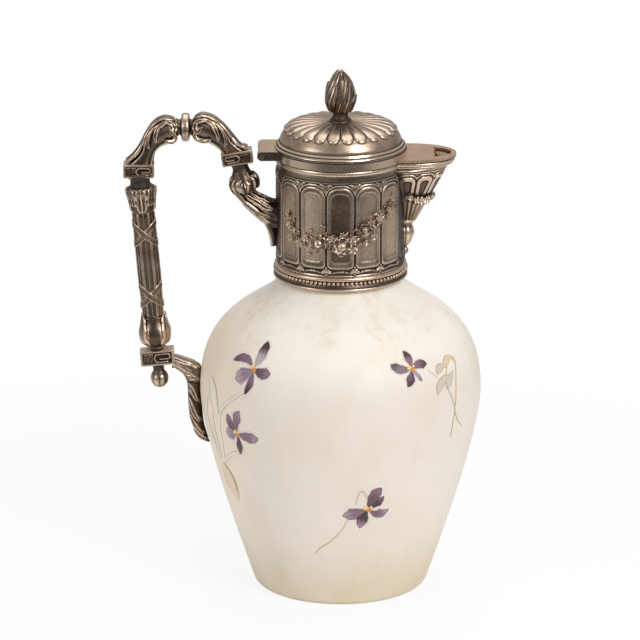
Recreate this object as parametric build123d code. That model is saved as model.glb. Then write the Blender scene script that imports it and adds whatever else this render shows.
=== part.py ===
from build123d import *

import math
import os

# Claret jug: a blown glass body in a silver mount with a spout, a hinged lid and a handle.
# Millimetres. +Z is up and the origin is the middle of the glass foot. The spout points
# along +X, the handle along -X, and the hinge pin lies along Y beside the handle.

# ---------------------------------------------------------------- driving dimensions
# Collar, whose radius the glass neck, the lid and the spout follow
collar_radius = 29.7
collar_skin = 1.0
collar_height = 57.6

# Glass body
foot_radius = 41.5           # side of the glass just above its rounded foot
foot_edge = 4.0              # rounding of the foot
belly_radius = 66.3
belly_level = 96.5
shoulder_level = 151.0       # where the glass goes under the mount
shoulder_radius = collar_radius - 0.8
glass_wall = 3.2
glass_floor = 7.0
plaster_gap = 2.1            # between the glass neck and the collar
neck_radius = collar_radius - collar_skin - plaster_gap
neck_rise = 20.0             # neck above the shoulder level
neck_lip = 1.2
foot_seam = 0.56 * belly_level         # the bubble is kept as three solids that meet here
neck_seam = (belly_level + shoulder_level) / 2       # and here

# Collar's fittings
plaster_rise = 16.0          # height of the plaster bed round the neck
plaster_play = 0.05
panel_count = 14
panel_sink = 0.35            # depth of the fields inside the panels
panel_margin = 1.6           # silver left between a field and its neighbour
panel_foot = 11.2            # field's lower end above the shoulder level
panel_head = 9.6             # field's upper end below the rim
panel_shoulder = 3.6         # rounding of a field's upper corners
panel_corner = 1.2           # and of its lower ones
foot_ring_proud = 1.3
foot_ring_lip = 0.7
foot_ring_height = 7.0
bead_radius = 0.95
rim_proud = 0.7
rim_height = 2.0

# Spout
cover_reach = 54.0           # tip of the cover plate from the jug's axis
cover_half_width = 15.4
cover_straight = collar_radius + 2.3   # where the plate's straight sides end
cover_thick = 1.5
spout_rim_height = 4.1
spout_rim_step = 1.3         # how far each of the rim's steps goes in
spout_rim_steps = 3
spout_depth = 31.6           # from the rim down to the spout's point
spout_point_reach = collar_radius + 5.1
spout_point_half_width = 3.8
spout_head_reach = cover_reach - 3.8
spout_head_half_width = cover_half_width - 1.2
spout_centre = collar_radius - 2.7     # middle of the rounded section
spout_skin = 1.3
pour_window_width = 11.0
pour_window_height = 16.0
pour_window_drop = 3.5       # top of the window below the rim
hole_start = cover_reach - 11.0        # straight side of the pouring hole
hole_half_width = 7.9
hole_rim = 2.4               # plate left between the hole and the tip
hole_tooth = 1.1
drop_radius = 4.2
drop_length = 12.0
drop_ball = 1.7

# Lid
seat_gap = 0.25              # play between the lid and the collar
lid_radius = collar_radius + 1.3
lid_band_height = 4.0
lid_torus_height = 2.0
lid_neck_height = 1.5
lid_neck_radius = lid_radius - 2.3
bezel_play = 0.5             # between the bezel and the collar's inside
bezel_skin = 1.0
bezel_drop = 3.2
dome_foot_radius = lid_neck_radius - 0.3
dome_rise = 9.2
dome_skin = 1.0

# Finial
stud_radius = 1.5
stem_foot_radius = 4.3
stem_neck_radius = 3.4
stem_height = 5.4
flame_radius = 7.4
flame_height = 19.0
nut_radius = 3.4
nut_height = 2.4
thread_play = 0.03

# Hinge
pin_radius = 1.0
pin_play = 0.05              # running fit in the lid's cheeks
pin_seat = 0.02              # fit in the fixed tongue
pin_head_radius = 1.35
pin_head_height = 0.4
hinge_reach = lid_radius + 5.6         # pin from the jug's axis
hinge_rise = 2.6             # pin above the collar's rim
hinge_half_width = 11.5
tongue_half_width = 5.8
tongue_play = 0.2
tongue_thick = 1.4
knuckle_radius = 1.65
cheek_radius = 2.1
leaf_thick = 1.1

# Handle
inner_block_stand = 18.5     # middle of the inner key block from the collar
inner_block_drop = 0.5       # and below the rim
inner_block_tilt = 9.0
block_length = 14.2
block_depth = 9.0
inner_block_height = 6.0
outer_block_height = 5.2
outer_block_drop = 5.7
lower_block_length = 15.9
lower_block_height = 7.3
lower_block_depth = 8.0
lower_block_stand = 20.05    # middle of the lower block from the belly
lower_block_level = 110.6
block_edge = 0.5
grip_lean = 7.8              # how much further out the grip's top is than its foot
arch_rise = 13.7             # spool's axis above the rim
spool_shift = 1.0            # spool from the middle between the blocks
arch_size = 6.6              # half of the arch's fullest section
arm_size = 6.3               # half of an arm's fullest section
arm_drop = 28.1              # where the upper arm meets the collar, below the rim
arm_leaf_width = 4.2
arm_leaf_length = 15.9
arm_leaf_stand = 6.4
lower_arm_drop = 43.2
lower_arm_stand = 4.7
spool_neck_radius = 4.1
spool_ring_radius = 6.7
spool_ring_width = 3.8
spool_neck_width = 2.4
grip_radius = 5.35
grip_flutes = 12
flute_radius = 0.9
capital_radius = 7.2
capital_height = 12.7
capital_neck_radius = 4.8
capital_neck_height = 3.2
pedestal_height = 2.3
bulb_radius = 7.35
bulb_height = 16.1
rod_radius = 1.5
rod_play = 0.1
rod_socket = 1.5             # how far the rod goes into the outer block
ball_radius = 4.15
ball_neck_radius = 2.75
ball_neck_height = 4.2

# ---------------------------------------------------------------- shared levels
rim_level = shoulder_level + collar_height
collar_bore = collar_radius - collar_skin
lid_level = rim_level + seat_gap
lid_band_top = lid_level + lid_band_height
lid_torus_top = lid_band_top + lid_torus_height
lid_rim_top = lid_torus_top + lid_neck_height
bezel_radius = collar_bore - bezel_play
dome_top = lid_rim_top + dome_rise
pin_level = rim_level + hinge_rise
overlap = 1.0                # how far a cutting tool runs past what it cuts


def at(radius, level):
    """Point of a half section in the XZ plane."""
    return Vector(radius, 0, level)


def turned(edges, axis=Axis.Z):
    """Solid of revolution from the edges of a closed half section."""
    return revolve(make_face(edges), axis=axis)


def turned_polygon(*points):
    """Turned solid whose half section has straight sides."""
    corners = [at(radius, level) for radius, level in points]
    return turned(Polyline(*corners, close=True).edges())


def turned_spline(points, floor, top):
    """Turned solid with a smooth side through the points, closed by flat ends."""
    side = Spline(*[at(radius, level) for radius, level in points])
    lower, upper = points[0], points[-1]
    ends = [Line(at(0, floor), at(lower[0], floor))]
    if upper[0] > 0:
        ends.append(Line(at(upper[0], top), at(0, top)))
    ends.append(Line(at(0, top), at(0, floor)))
    return turned([side, *ends])


def disc(radius, low, high, x=0.0):
    """Upright cylinder between two levels."""
    return Pos(x, 0, low) * Cylinder(radius, high - low, align=(Align.CENTER, Align.CENTER, Align.MIN))


def ring(inner, outer, low, high):
    """Upright tube between two levels."""
    return disc(outer, low, high) - disc(inner, low - overlap, high + overlap)


def slab(x_range, half_width, z_range):
    """Box between two x and two z values, centred on the XZ plane."""
    size_x, size_z = x_range[1] - x_range[0], z_range[1] - z_range[0]
    middle = ((x_range[0] + x_range[1]) / 2, 0, (z_range[0] + z_range[1]) / 2)
    return Pos(*middle) * Box(size_x, 2 * half_width, size_z)


def save(shape, name):
    """Write one sub-part as one STEP file."""
    solids = shape.solids()
    if len(solids) != 1:
        print(f"{name}: {len(solids)} solids")
    export_step(Compound(label=name, children=[Part(solid.wrapped) for solid in solids]), f"parts/{name}.step")


# ---------------------------------------------------------------- glass body
# One blown bubble: a nearly straight lower wall, a round belly and shoulder, and a neck
# that stands inside the collar. The inside follows the outside at the wall's thickness.
lower_slope = 0.354          # outward lean of the lower wall
lower_hold = 0.24            # share of the belly level where the lean is kept
belly_hold_down = 0.21
belly_hold_up = 0.76         # share of the shoulder's rise where the belly stays full
neck_hold = 0.265
neck_slope = 0.30


def bottle(inset, floor):
    """The bottle's outer form, or its hollow where an inset is given."""
    foot = foot_radius - inset
    belly = belly_radius - inset
    shoulder = shoulder_radius - inset
    neck = neck_radius - inset
    start = floor + foot_edge
    low = lower_hold * belly_level
    rise = shoulder_level - belly_level
    neck_top = shoulder_level + neck_rise + (overlap if inset else 0)
    neck_start = shoulder_level + 4
    down = neck_hold * rise
    lean = math.atan(lower_slope)
    round_middle = at(foot - foot_edge, start)
    arc_half = -(math.pi / 2 + lean) / 2
    arc_end = round_middle + at(foot_edge * math.cos(lean), -foot_edge * math.sin(lean))
    arc_half_way = round_middle + at(foot_edge * math.cos(arc_half), foot_edge * math.sin(arc_half))
    edges = [
        Line(at(0, floor), at(foot - foot_edge, floor)),
        ThreePointArc(at(foot - foot_edge, floor), arc_half_way, arc_end),
    ]
    edges.append(Bezier(
        arc_end, at(foot + lower_slope * low, start + low),
        at(belly, belly_level * (1 - belly_hold_down)), at(belly, belly_level)))
    edges.append(Bezier(
        at(belly, belly_level), at(belly, belly_level + belly_hold_up * rise),
        at(shoulder + neck_slope * down, shoulder_level - down), at(shoulder, shoulder_level)))
    edges.append(Line(at(shoulder, shoulder_level), at(neck, neck_start)))
    edges.append(Line(at(neck, neck_start), at(neck, neck_top)))
    edges.append(Line(at(neck, neck_top), at(0, neck_top)))
    edges.append(Line(at(0, neck_top), at(0, floor)))
    return turned(edges)


glass_outside = bottle(0, 0)
glass_bubble = glass_outside - bottle(glass_wall, glass_floor)
lip_edges = glass_bubble.edges().group_by(Axis.Z)[-1]
glass_bubble = fillet(lip_edges, neck_lip)
glass_parts = (
    ("glass_foot", 0, foot_seam),
    ("glass_body", foot_seam, neck_seam),
    ("glass_neck", neck_seam, shoulder_level + neck_rise))
for name, part_low, part_high in glass_parts:
    slice_middle = (part_low + part_high) / 2
    glass_slice = Pos(0, 0, slice_middle) * Cylinder(2 * belly_radius, part_high - part_low)
    save(glass_bubble & glass_slice, name)

# ---------------------------------------------------------------- plaster bed
# Plaster fills the space between the glass neck and the collar and holds the mount on.
plaster_top = shoulder_level + plaster_rise
plaster_low = shoulder_level + 0.8
neck_plaster = ring(neck_radius + plaster_play, collar_bore - plaster_play, plaster_low, plaster_top)
neck_plaster -= glass_outside
save(neck_plaster, "neck_plaster")

# ---------------------------------------------------------------- collar wall
# A soldered sheet sleeve, stamped with arched fields, with a window into the spout.
panel_pitch = 360 / panel_count
panel_width = 2 * math.pi * collar_radius / panel_count - 2 * panel_margin
panel_low = shoulder_level + panel_foot
panel_high = rim_level - panel_head
collar_low = shoulder_level + 0.6


def panel_field():
    """Cutter of one field: an upright slot with arched shoulders, facing -Y."""
    field = Pos(0, (panel_low + panel_high) / 2) * Rectangle(panel_width, panel_high - panel_low)
    field = fillet(field.vertices().group_by(Axis.Y)[-1], panel_shoulder)
    field = fillet(field.vertices().group_by(Axis.Y)[0], panel_corner)
    outline = Plane.XZ.offset(collar_radius - 2 * panel_sink) * field
    return extrude(outline, amount=4 * panel_sink) - disc(collar_radius - panel_sink, panel_low, panel_high)


collar_wall = ring(collar_bore, collar_radius, collar_low, rim_level)
fields = [Rot(0, 0, index * panel_pitch) * panel_field() for index in range(panel_count)]
collar_wall -= fields
window_top = rim_level - pour_window_drop
window_radius = pour_window_width / 2
window_low = window_top - pour_window_height
window_square = slab((0, collar_radius + overlap), window_radius, (window_low + window_radius, window_top))
window_round = Pos(0, 0, window_low + window_radius) * Rot(0, 90, 0) * Cylinder(
    window_radius, collar_radius + overlap, align=(Align.CENTER, Align.CENTER, Align.MIN))
pour_window = window_square + window_round
collar_wall -= pour_window
save(collar_wall, "collar_wall")

# ---------------------------------------------------------------- collar foot ring
# A drawn moulding round the sleeve's foot: a plain lip, a row of beads and a half round.
foot_outer = collar_radius + foot_ring_proud
lip_radius = collar_radius + foot_ring_lip
bead_level = shoulder_level + 3.9
torus_low = bead_level + bead_radius
torus_top = shoulder_level + foot_ring_height
collar_foot = ring(collar_radius, lip_radius, shoulder_level, torus_top)
bead_circle = lip_radius
bead_ring = turned_polygon(
    (collar_radius, bead_level - bead_radius), (bead_circle + 0.4, bead_level - bead_radius),
    (bead_circle + bead_radius - 0.2, bead_level), (bead_circle + 0.4, bead_level + bead_radius),
    (collar_radius, bead_level + bead_radius))
torus_mid = (torus_low + torus_top) / 2
torus_band = turned([
    Line(at(collar_radius, torus_low), at(lip_radius, torus_low)),
    ThreePointArc(at(lip_radius, torus_low), at(foot_outer, torus_mid), at(lip_radius, torus_top)),
    Line(at(lip_radius, torus_top), at(collar_radius, torus_top)),
    Line(at(collar_radius, torus_top), at(collar_radius, torus_low))])
collar_foot = collar_foot + bead_ring + torus_band - glass_outside
save(collar_foot, "collar_foot")

# ---------------------------------------------------------------- collar rim
# A flat wire soldered round the sleeve's top edge, which stiffens the mouth.
rim_radius = collar_radius + rim_proud
collar_rim = ring(collar_radius, rim_radius, rim_level - rim_height, rim_level)

# ---------------------------------------------------------------- spout
# A raised V-shaped channel soldered over the window, with a stepped rim under the cover.


def cover_outline(inset):
    """Flat outline of the cover plate: straight sides and a half elliptical tip."""
    half = cover_half_width - inset
    tip = Ellipse(cover_reach - cover_straight - inset, half)
    sides = Pos(-cover_straight / 2) * Rectangle(cover_straight, 2 * half)
    keep = Pos(cover_reach / 2 - cover_straight) * Rectangle(cover_reach, 4 * half)
    return Pos(cover_straight) * ((tip + sides) & keep)


def channel_section(reach, half_width, level):
    """Section of the channel at one level: a straight back and a half elliptical nose."""
    back = spout_centre - 10
    nose = EllipticalCenterArc((spout_centre, 0), reach - spout_centre, half_width, start_angle=-90, arc_size=180)
    sides = Polyline((spout_centre, half_width), (back, half_width), (back, -half_width),
                     (spout_centre, -half_width))
    return Plane.XY.offset(level) * make_face([nose, *sides.edges()])


spout_head_level = rim_level - spout_rim_height
spout_point_level = rim_level - spout_depth
collar_core = disc(collar_radius, shoulder_level, rim_level + overlap)


def channel(inset, low, high):
    """The channel's outer form, or its hollow where an inset is given."""
    head = channel_section(spout_head_reach - inset, spout_head_half_width - inset, high)
    point = channel_section(spout_point_reach - inset, spout_point_half_width - inset, low)
    return loft([point, head], ruled=True)


spout_form = channel(0, spout_point_level, spout_head_level)
step_height = spout_rim_height / spout_rim_steps
for step in range(spout_rim_steps):
    outline = Plane.XY.offset(rim_level - (step + 1) * step_height) * cover_outline(0.4 + step * spout_rim_step)
    spout_form += extrude(outline, amount=step_height)
spout_hollow = channel(spout_skin, spout_point_level + 2 * spout_skin, spout_head_level)
mouth_inset = 0.4 + (spout_rim_steps - 1) * spout_rim_step + spout_skin
mouth_outline = Plane.XY.offset(spout_head_level) * cover_outline(mouth_inset)
spout_hollow += extrude(mouth_outline, amount=spout_rim_height + overlap)
spout_body = spout_form - spout_hollow - collar_core
collar_rim = collar_rim - spout_form
save(collar_rim, "collar_rim")
save(spout_body, "spout_body")

# ---------------------------------------------------------------- spout drop
# Leaf and ball cast in one and soldered under the spout's point, against the collar.
drop_x = collar_radius + 0.6
drop_foot = spout_point_level - drop_length
drop_leaf = Pos(drop_x) * turned_spline(
    [(0.8, drop_foot), (0.7 * drop_radius, drop_foot + 0.2 * drop_length),
     (drop_radius, drop_foot + 0.55 * drop_length), (0.8 * drop_radius, drop_foot + 0.8 * drop_length),
     (0.9 * drop_radius, spout_point_level)],
    drop_foot, spout_point_level)
ball = Pos(drop_x, 0, drop_foot - 0.7 * drop_ball) * Sphere(drop_ball)
spout_drop = drop_leaf + ball - collar_core
save(spout_drop, "spout_drop")

# ---------------------------------------------------------------- lid rim and bezel
# The lid's rim is a moulded wire: a plain band, a half round and a neck that takes the dome.
lid_step = 0.35
torus_middle = lid_band_top + 0.65 * lid_torus_height
lid_rim = turned([
    Line(at(bezel_radius, lid_level), at(lid_radius, lid_level)),
    Line(at(lid_radius, lid_level), at(lid_radius, lid_band_top)),
    Line(at(lid_radius, lid_band_top), at(lid_radius - lid_step, lid_band_top)),
    ThreePointArc(at(lid_radius - lid_step, lid_band_top), at(lid_radius - 1.5 * lid_step, torus_middle),
                  at(lid_radius - 4 * lid_step, lid_torus_top)),
    Line(at(lid_radius - 4 * lid_step, lid_torus_top), at(lid_neck_radius, lid_rim_top)),
    Line(at(lid_neck_radius, lid_rim_top), at(bezel_radius, lid_rim_top)),
    Line(at(bezel_radius, lid_rim_top), at(bezel_radius, lid_level))])
tongue_top = rim_level + tongue_thick
notch = slab((-lid_radius - overlap, -bezel_radius), tongue_half_width + tongue_play,
             (lid_level - overlap, tongue_top + tongue_play))
lid_rim -= notch
save(lid_rim, "lid_rim")
lid_bezel = ring(bezel_radius - bezel_skin, bezel_radius, lid_level - bezel_drop, lid_rim_top)
save(lid_bezel, "lid_bezel")

# ---------------------------------------------------------------- lid dome
# Raised sheet with a nearly flat crown. The gadroons are chased into it.


def dome_half(inset):
    """Half section of the dome's outside, or of its inside where an inset is given."""
    foot = dome_foot_radius - inset
    top = dome_top - inset
    rise = top - lid_rim_top
    side = Spline(at(foot, lid_rim_top), at(foot - 0.035 * foot, lid_rim_top + 0.33 * rise),
                  at(foot - 0.13 * foot, lid_rim_top + 0.74 * rise), at(foot - 0.34 * foot, lid_rim_top + 0.93 * rise),
                  at(0, top), tangents=[(0, 0, 1), (-1, 0, 0)])
    return turned([side, Line(at(0, top), at(0, lid_rim_top)), Line(at(0, lid_rim_top), at(foot, lid_rim_top))])


lid_dome = dome_half(0) - dome_half(dome_skin) - disc(stud_radius + thread_play, lid_rim_top, dome_top + overlap)
save(lid_dome, "lid_dome")

# ---------------------------------------------------------------- finial
# A cast flame on a turned stem, whose stud goes through the dome to a round nut.
dome_under = dome_top - dome_skin
stud_low = dome_under - nut_height
stem_top = dome_top + stem_height
finial_stem = turned_spline(
    [(stem_foot_radius, dome_top), (stem_foot_radius, dome_top + 0.8), (stem_neck_radius, dome_top + 0.45 * stem_height),
     (stem_foot_radius, stem_top)], dome_top, stem_top)
finial_stem += disc(stud_radius, stud_low, dome_top + overlap)
save(finial_stem, "finial_stem")
flame_points = [(0.6, 0.0), (0.93, 0.17), (1.0, 0.33), (0.86, 0.6), (0.6, 0.79), (0.3, 0.93), (0.0, 1.0)]
finial_flame = turned_spline(
    [(share * flame_radius, stem_top + rise * flame_height) for share, rise in flame_points],
    stem_top, stem_top + flame_height)
save(finial_flame, "finial_flame")
finial_nut = disc(nut_radius, stud_low, dome_under) - disc(stud_radius + thread_play, stud_low - overlap, dome_top)
finial_nut -= dome_half(0) - dome_half(dome_skin)
save(finial_nut, "finial_nut")

# ---------------------------------------------------------------- spout cover
# Flat plate soldered to the lid's band, with a D-shaped pouring hole that has a toothed side.
cover_top = lid_level + cover_thick
spout_cover = extrude(Plane.XY.offset(lid_level) * cover_outline(0), amount=cover_thick)
hole_oval = Pos(hole_start) * Ellipse(cover_reach - hole_rim - hole_start, hole_half_width)
hole_face = hole_oval & (Pos(hole_start + cover_reach / 2) * Rectangle(cover_reach, 2 * cover_reach))
tooth_half = hole_half_width / 2
for middle in (-tooth_half, tooth_half):
    hole_face -= make_face(Polyline(
        (hole_start - 0.1, middle - tooth_half), (hole_start + hole_tooth, middle),
        (hole_start - 0.1, middle + tooth_half), close=True))
spout_cover -= extrude(Plane.XY.offset(lid_level - overlap) * hole_face, amount=cover_thick + 2 * overlap)
spout_cover = spout_cover - disc(lid_radius, lid_level - overlap, cover_top + overlap)
save(spout_cover, "spout_cover")

# ---------------------------------------------------------------- hinge
# The collar's tongue holds the pin. The lid's leaf turns on it with a cheek at each end.
pin_place = Pos(-hinge_reach, 0, pin_level)


def along_pin(radius, half_length, shift=0.0):
    """Cylinder on the pin's axis, shifted along Y."""
    return pin_place * Pos(0, shift, 0) * Rot(90, 0, 0) * Cylinder(radius, 2 * half_length)


tongue_plate = slab((-hinge_reach, -collar_bore), tongue_half_width, (rim_level, tongue_top))
tongue_plate -= disc(collar_bore, rim_level - overlap, tongue_top + overlap)
hinge_tongue = tongue_plate + along_pin(knuckle_radius, tongue_half_width)
hinge_tongue -= along_pin(pin_radius + pin_seat, tongue_half_width + overlap)
save(hinge_tongue, "hinge_tongue")

cheek_gap = 0.2
cheek_inner = tongue_half_width + cheek_gap
cheek_length = hinge_half_width - cheek_inner
leaf_low = pin_level + cheek_radius - leaf_thick
leaf_top = pin_level + cheek_radius
lid_leaf = slab((-hinge_reach, -bezel_radius), hinge_half_width, (leaf_low, leaf_top))
lid_leaf += along_pin(cheek_radius, hinge_half_width) & slab(
    (-hinge_reach - 2 * cheek_radius, -hinge_reach), hinge_half_width, (leaf_low, leaf_top))
for side in (-1, 1):
    middle = side * (cheek_inner + cheek_length / 2)
    cheek_block = Pos(0, middle, 0) * slab((-hinge_reach, -bezel_radius), cheek_length / 2,
                                           (pin_level - cheek_radius, leaf_top))
    lid_leaf += cheek_block + along_pin(cheek_radius, cheek_length / 2, middle)
lid_leaf = lid_leaf - along_pin(knuckle_radius + tongue_play, cheek_inner)
lid_leaf -= along_pin(pin_radius + pin_play, hinge_half_width + overlap)
lid_leaf = lid_leaf - lid_rim - disc(bezel_radius + overlap, lid_level - 2 * overlap, lid_rim_top)
save(lid_leaf, "lid_leaf")

head_play = 0.1              # between the leaf and the pin's heads
hinge_pin = along_pin(pin_radius, hinge_half_width + head_play + pin_head_height / 2)
for side in (-1, 1):
    hinge_pin += along_pin(pin_head_radius, pin_head_height / 2,
                           side * (hinge_half_width + head_play + pin_head_height / 2))
save(hinge_pin, "hinge_pin")

# ---------------------------------------------------------------- handle, places
# All of the handle lies in the XZ plane. Its blocks stand off from the collar and the belly.
inner_block_x = -(collar_radius + inner_block_stand)
inner_block_level = rim_level - inner_block_drop
lower_block_x = -(belly_radius + lower_block_stand)
outer_block_x = lower_block_x - grip_lean
outer_block_level = rim_level - outer_block_drop
spool_x = (inner_block_x + outer_block_x) / 2 - spool_shift
spool_level = rim_level + arch_rise
spool_half = spool_ring_width / 2 + spool_neck_width


def block(length, depth, height, x, level, tilt):
    """Key block: a rectangular block with eased edges, tilted up towards the jug."""
    body = Box(length, depth, height)
    body = chamfer(body.edges(), block_edge)
    return Pos(x, 0, level) * Rot(0, -tilt, 0) * body


def limb(path, size, stations):
    """Casting with round sections along a path: share of the path, then the section's half
    height and half depth as shares of the size."""
    sections = []
    for share, height, depth in stations:
        frame = Plane(origin=path @ share, x_dir=(0, 1, 0), z_dir=path % share)
        sections.append(frame * Ellipse(depth * size, height * size))
    return loft(sections)


# ---------------------------------------------------------------- key blocks
inner_tilt = math.radians(inner_block_tilt)
inner_up = Vector(-math.sin(inner_tilt), 0, math.cos(inner_tilt))
inner_along = Vector(math.cos(inner_tilt), 0, math.sin(inner_tilt))
inner_centre = at(inner_block_x, inner_block_level)
inner_key_block = block(block_length, block_depth, inner_block_height, inner_block_x, inner_block_level,
                        inner_block_tilt)
save(inner_key_block, "inner_key_block")

grip_drop = outer_block_level - lower_block_level
grip_tilt = math.degrees(math.atan2(lower_block_x - outer_block_x, grip_drop))
grip_length = math.hypot(lower_block_x - outer_block_x, grip_drop)
grip_frame = Pos(outer_block_x, 0, outer_block_level) * Rot(0, 180 - grip_tilt, 0)
rod_start = outer_block_height / 2 - rod_socket
lower_face = grip_length + lower_block_height / 2
ball_level = lower_face + ball_neck_height + 0.8 * ball_radius
rod_end = ball_level


def down_grip(radius, start, end):
    """Cylinder on the grip's axis, measured down from the outer block's middle."""
    length = end - start
    return grip_frame * (Pos(0, 0, start) * Cylinder(radius, length, align=(Align.CENTER, Align.CENTER, Align.MIN)))


tie_rod = down_grip(rod_radius, rod_start, rod_end)
save(tie_rod, "tie_rod")
rod_bore = down_grip(rod_radius + rod_play, rod_start, rod_end)
outer_key_block = block(block_length, block_depth, outer_block_height, outer_block_x, outer_block_level, 0)
outer_key_block -= rod_bore
save(outer_key_block, "outer_key_block")
lower_key_block = block(lower_block_length, lower_block_depth, lower_block_height, lower_block_x,
                        lower_block_level, grip_tilt)
lower_key_block -= rod_bore
save(lower_key_block, "lower_key_block")

# ---------------------------------------------------------------- arch
# Two scroll castings screwed together through a spool with a round ring at its middle.
spool_place = Pos(spool_x, 0, spool_level) * Rot(0, 90, 0)
arch_spool = spool_place * Cylinder(spool_neck_radius, 2 * spool_half)
arch_spool += spool_place * (Cylinder(spool_ring_radius, spool_ring_width))
ring_edges = arch_spool.edges().filter_by(GeomType.CIRCLE).group_by(SortBy.RADIUS)[-1]
arch_spool = fillet(ring_edges, 0.47 * spool_ring_width)
save(arch_spool, "arch_spool")

outer_foot = at(outer_block_x + 0.056 * block_length, outer_block_level + outer_block_height / 2)
outer_end = at(spool_x - spool_half, spool_level)
outer_rise = outer_end.Z - outer_foot.Z
outer_run = outer_end.X - outer_foot.X
outer_path = Bezier(outer_foot, outer_foot + at(0, 0.55 * outer_rise),
                    outer_end - at(0.6 * outer_run, 0.02 * outer_rise), outer_end)
outer_arch = limb(outer_path, arch_size, [
    (0, 0.86, 0.64), (0.16, 0.76, 0.64), (0.38, 0.74, 0.71), (0.6, 0.88, 0.85), (0.8, 0.98, 0.95),
    (0.94, 0.92, 0.91), (1, 0.68, 0.68)])
outer_arch -= arch_spool
save(outer_arch, "outer_arch")

inner_foot = inner_centre + inner_up * (inner_block_height / 2) - inner_along * (0.14 * block_length)
inner_end = at(spool_x + spool_half, spool_level)
inner_run = inner_foot.X - inner_end.X
inner_path = Bezier(inner_end, inner_end + at(0.42 * inner_run, 0.066 * arch_rise), inner_foot + inner_up * 0.55 * inner_run,
                    inner_foot)
inner_arch = limb(inner_path, arch_size, [
    (0, 0.68, 0.68), (0.07, 0.91, 0.89), (0.25, 1.02, 0.97), (0.45, 0.94, 0.86), (0.68, 0.79, 0.73),
    (0.86, 0.73, 0.64), (1, 0.82, 0.64)])
inner_arch -= arch_spool
save(inner_arch, "inner_arch")

# ---------------------------------------------------------------- upper arm
# From the inner block: a short neck, a leaf bud and an arm whose leaves spread on the collar.
arm_start = inner_centre - inner_up * (inner_block_height / 2)
arm_end = at(-(collar_radius - 1.2), rim_level - arm_drop)
arm_run = arm_end.X - arm_start.X
arm_fall = arm_end.Z - arm_start.Z
arm_path = Bezier(arm_start, arm_start + at(0.115 * arm_run, 0.565 * arm_fall),
                  arm_start + at(0.297 * arm_run, 0.837 * arm_fall), arm_end)
upper_arm = limb(arm_path, arm_size, [
    (0, 0.67, 0.64), (0.1, 0.64, 0.62), (0.17, 0.86, 0.86), (0.25, 1.0, 0.95), (0.36, 0.79, 0.79),
    (0.52, 0.67, 0.7), (0.75, 0.76, 0.73), (0.92, 0.92, 0.95), (1, 0.98, 1.11)])
leaf_points = [at(-(collar_radius + stand * arm_leaf_stand), rim_level - arm_drop - fall * arm_leaf_length)
               for stand, fall in ((1.0, 0.03), (0.56, 0.37), (0.41, 0.62), (0.3, 1.0))]
arm_leaf = limb(Bezier(*leaf_points), arm_leaf_width, [
    (0, 0.43, 0.95), (0.35, 0.29, 1.0), (0.7, 0.21, 0.81), (1, 0.14, 0.29)])
upper_arm = upper_arm + arm_leaf - collar_core
save(upper_arm, "upper_arm")

# ---------------------------------------------------------------- grip
# A reeded shaft between a leaf capital and a leaf bulb, all bored for the tie rod.
capital_start = outer_block_height / 2 + pedestal_height + capital_neck_height
shaft_start = capital_start + capital_height
bulb_neck_end = grip_length - lower_block_height / 2
shaft_end = bulb_neck_end - bulb_height


def grip_turned(points, start, end):
    """Turned piece on the grip's axis: share of its length and radius, smooth between them."""
    length = end - start
    side = [(radius, start + share * length) for share, radius in points]
    return grip_frame * turned_spline(side, start, end) - rod_bore


pedestal_top = outer_block_height / 2 - 1.0
pedestal = grip_frame * turned_polygon(
    (0, pedestal_top), (block_length / 2 - 0.3, pedestal_top), (block_length / 2 - 0.3, outer_block_height / 2),
    (capital_neck_radius, capital_start - capital_neck_height), (capital_neck_radius, capital_start),
    (0, capital_start))
pedestal_trim = Pos(outer_block_x, 0, outer_block_level) * Box(3 * block_length, block_depth, 8 * block_depth)
block_space = Pos(outer_block_x, 0, outer_block_level - outer_block_height / 2) * Box(
    3 * block_length, 3 * block_depth, 8 * block_depth, align=(Align.CENTER, Align.CENTER, Align.MIN))
pedestal = (pedestal & pedestal_trim) - block_space
cup = grip_turned([(0, 0.93 * capital_radius), (0.12, capital_radius), (0.4, 0.98 * capital_radius),
                   (0.7, 0.86 * capital_radius), (1, 1.02 * grip_radius)], capital_start, shaft_start)
grip_capital = pedestal - rod_bore + cup
save(grip_capital, "grip_capital")

grip_shaft = grip_turned([(0, 0.96 * grip_radius), (0.35, 1.0 * grip_radius), (0.6, 1.01 * grip_radius),
                          (0.85, 0.9 * grip_radius), (1, 0.88 * grip_radius)], shaft_start, shaft_end)
flutes = []
for index in range(grip_flutes):
    turn = index * 360 / grip_flutes
    place = grip_frame * Rot(0, 0, turn) * Pos(grip_radius + 0.45 * flute_radius, 0, shaft_start + 2)
    flute_length = shaft_end - shaft_start - 4
    flutes.append(place * Cylinder(flute_radius, flute_length, align=(Align.CENTER, Align.CENTER, Align.MIN)))
grip_shaft -= flutes
save(grip_shaft, "grip_shaft")

grip_bulb = grip_turned([(0, 0.9 * grip_radius), (0.12, 0.98 * grip_radius), (0.28, 0.92 * bulb_radius),
                         (0.5, bulb_radius), (0.68, 0.88 * bulb_radius), (0.86, 0.58 * bulb_radius),
                         (1, 0.57 * bulb_radius)], shaft_end, bulb_neck_end)
save(grip_bulb, "grip_bulb")

rod_nut = grip_frame * turned_polygon(
    (0, lower_face), (1.15 * ball_neck_radius, lower_face), (ball_neck_radius, lower_face + 1.2),
    (ball_neck_radius, ball_level), (0, ball_level))
rod_nut += grip_frame * Pos(0, 0, ball_level) * Sphere(ball_radius)
rod_nut -= rod_bore
save(rod_nut, "rod_nut")

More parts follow.
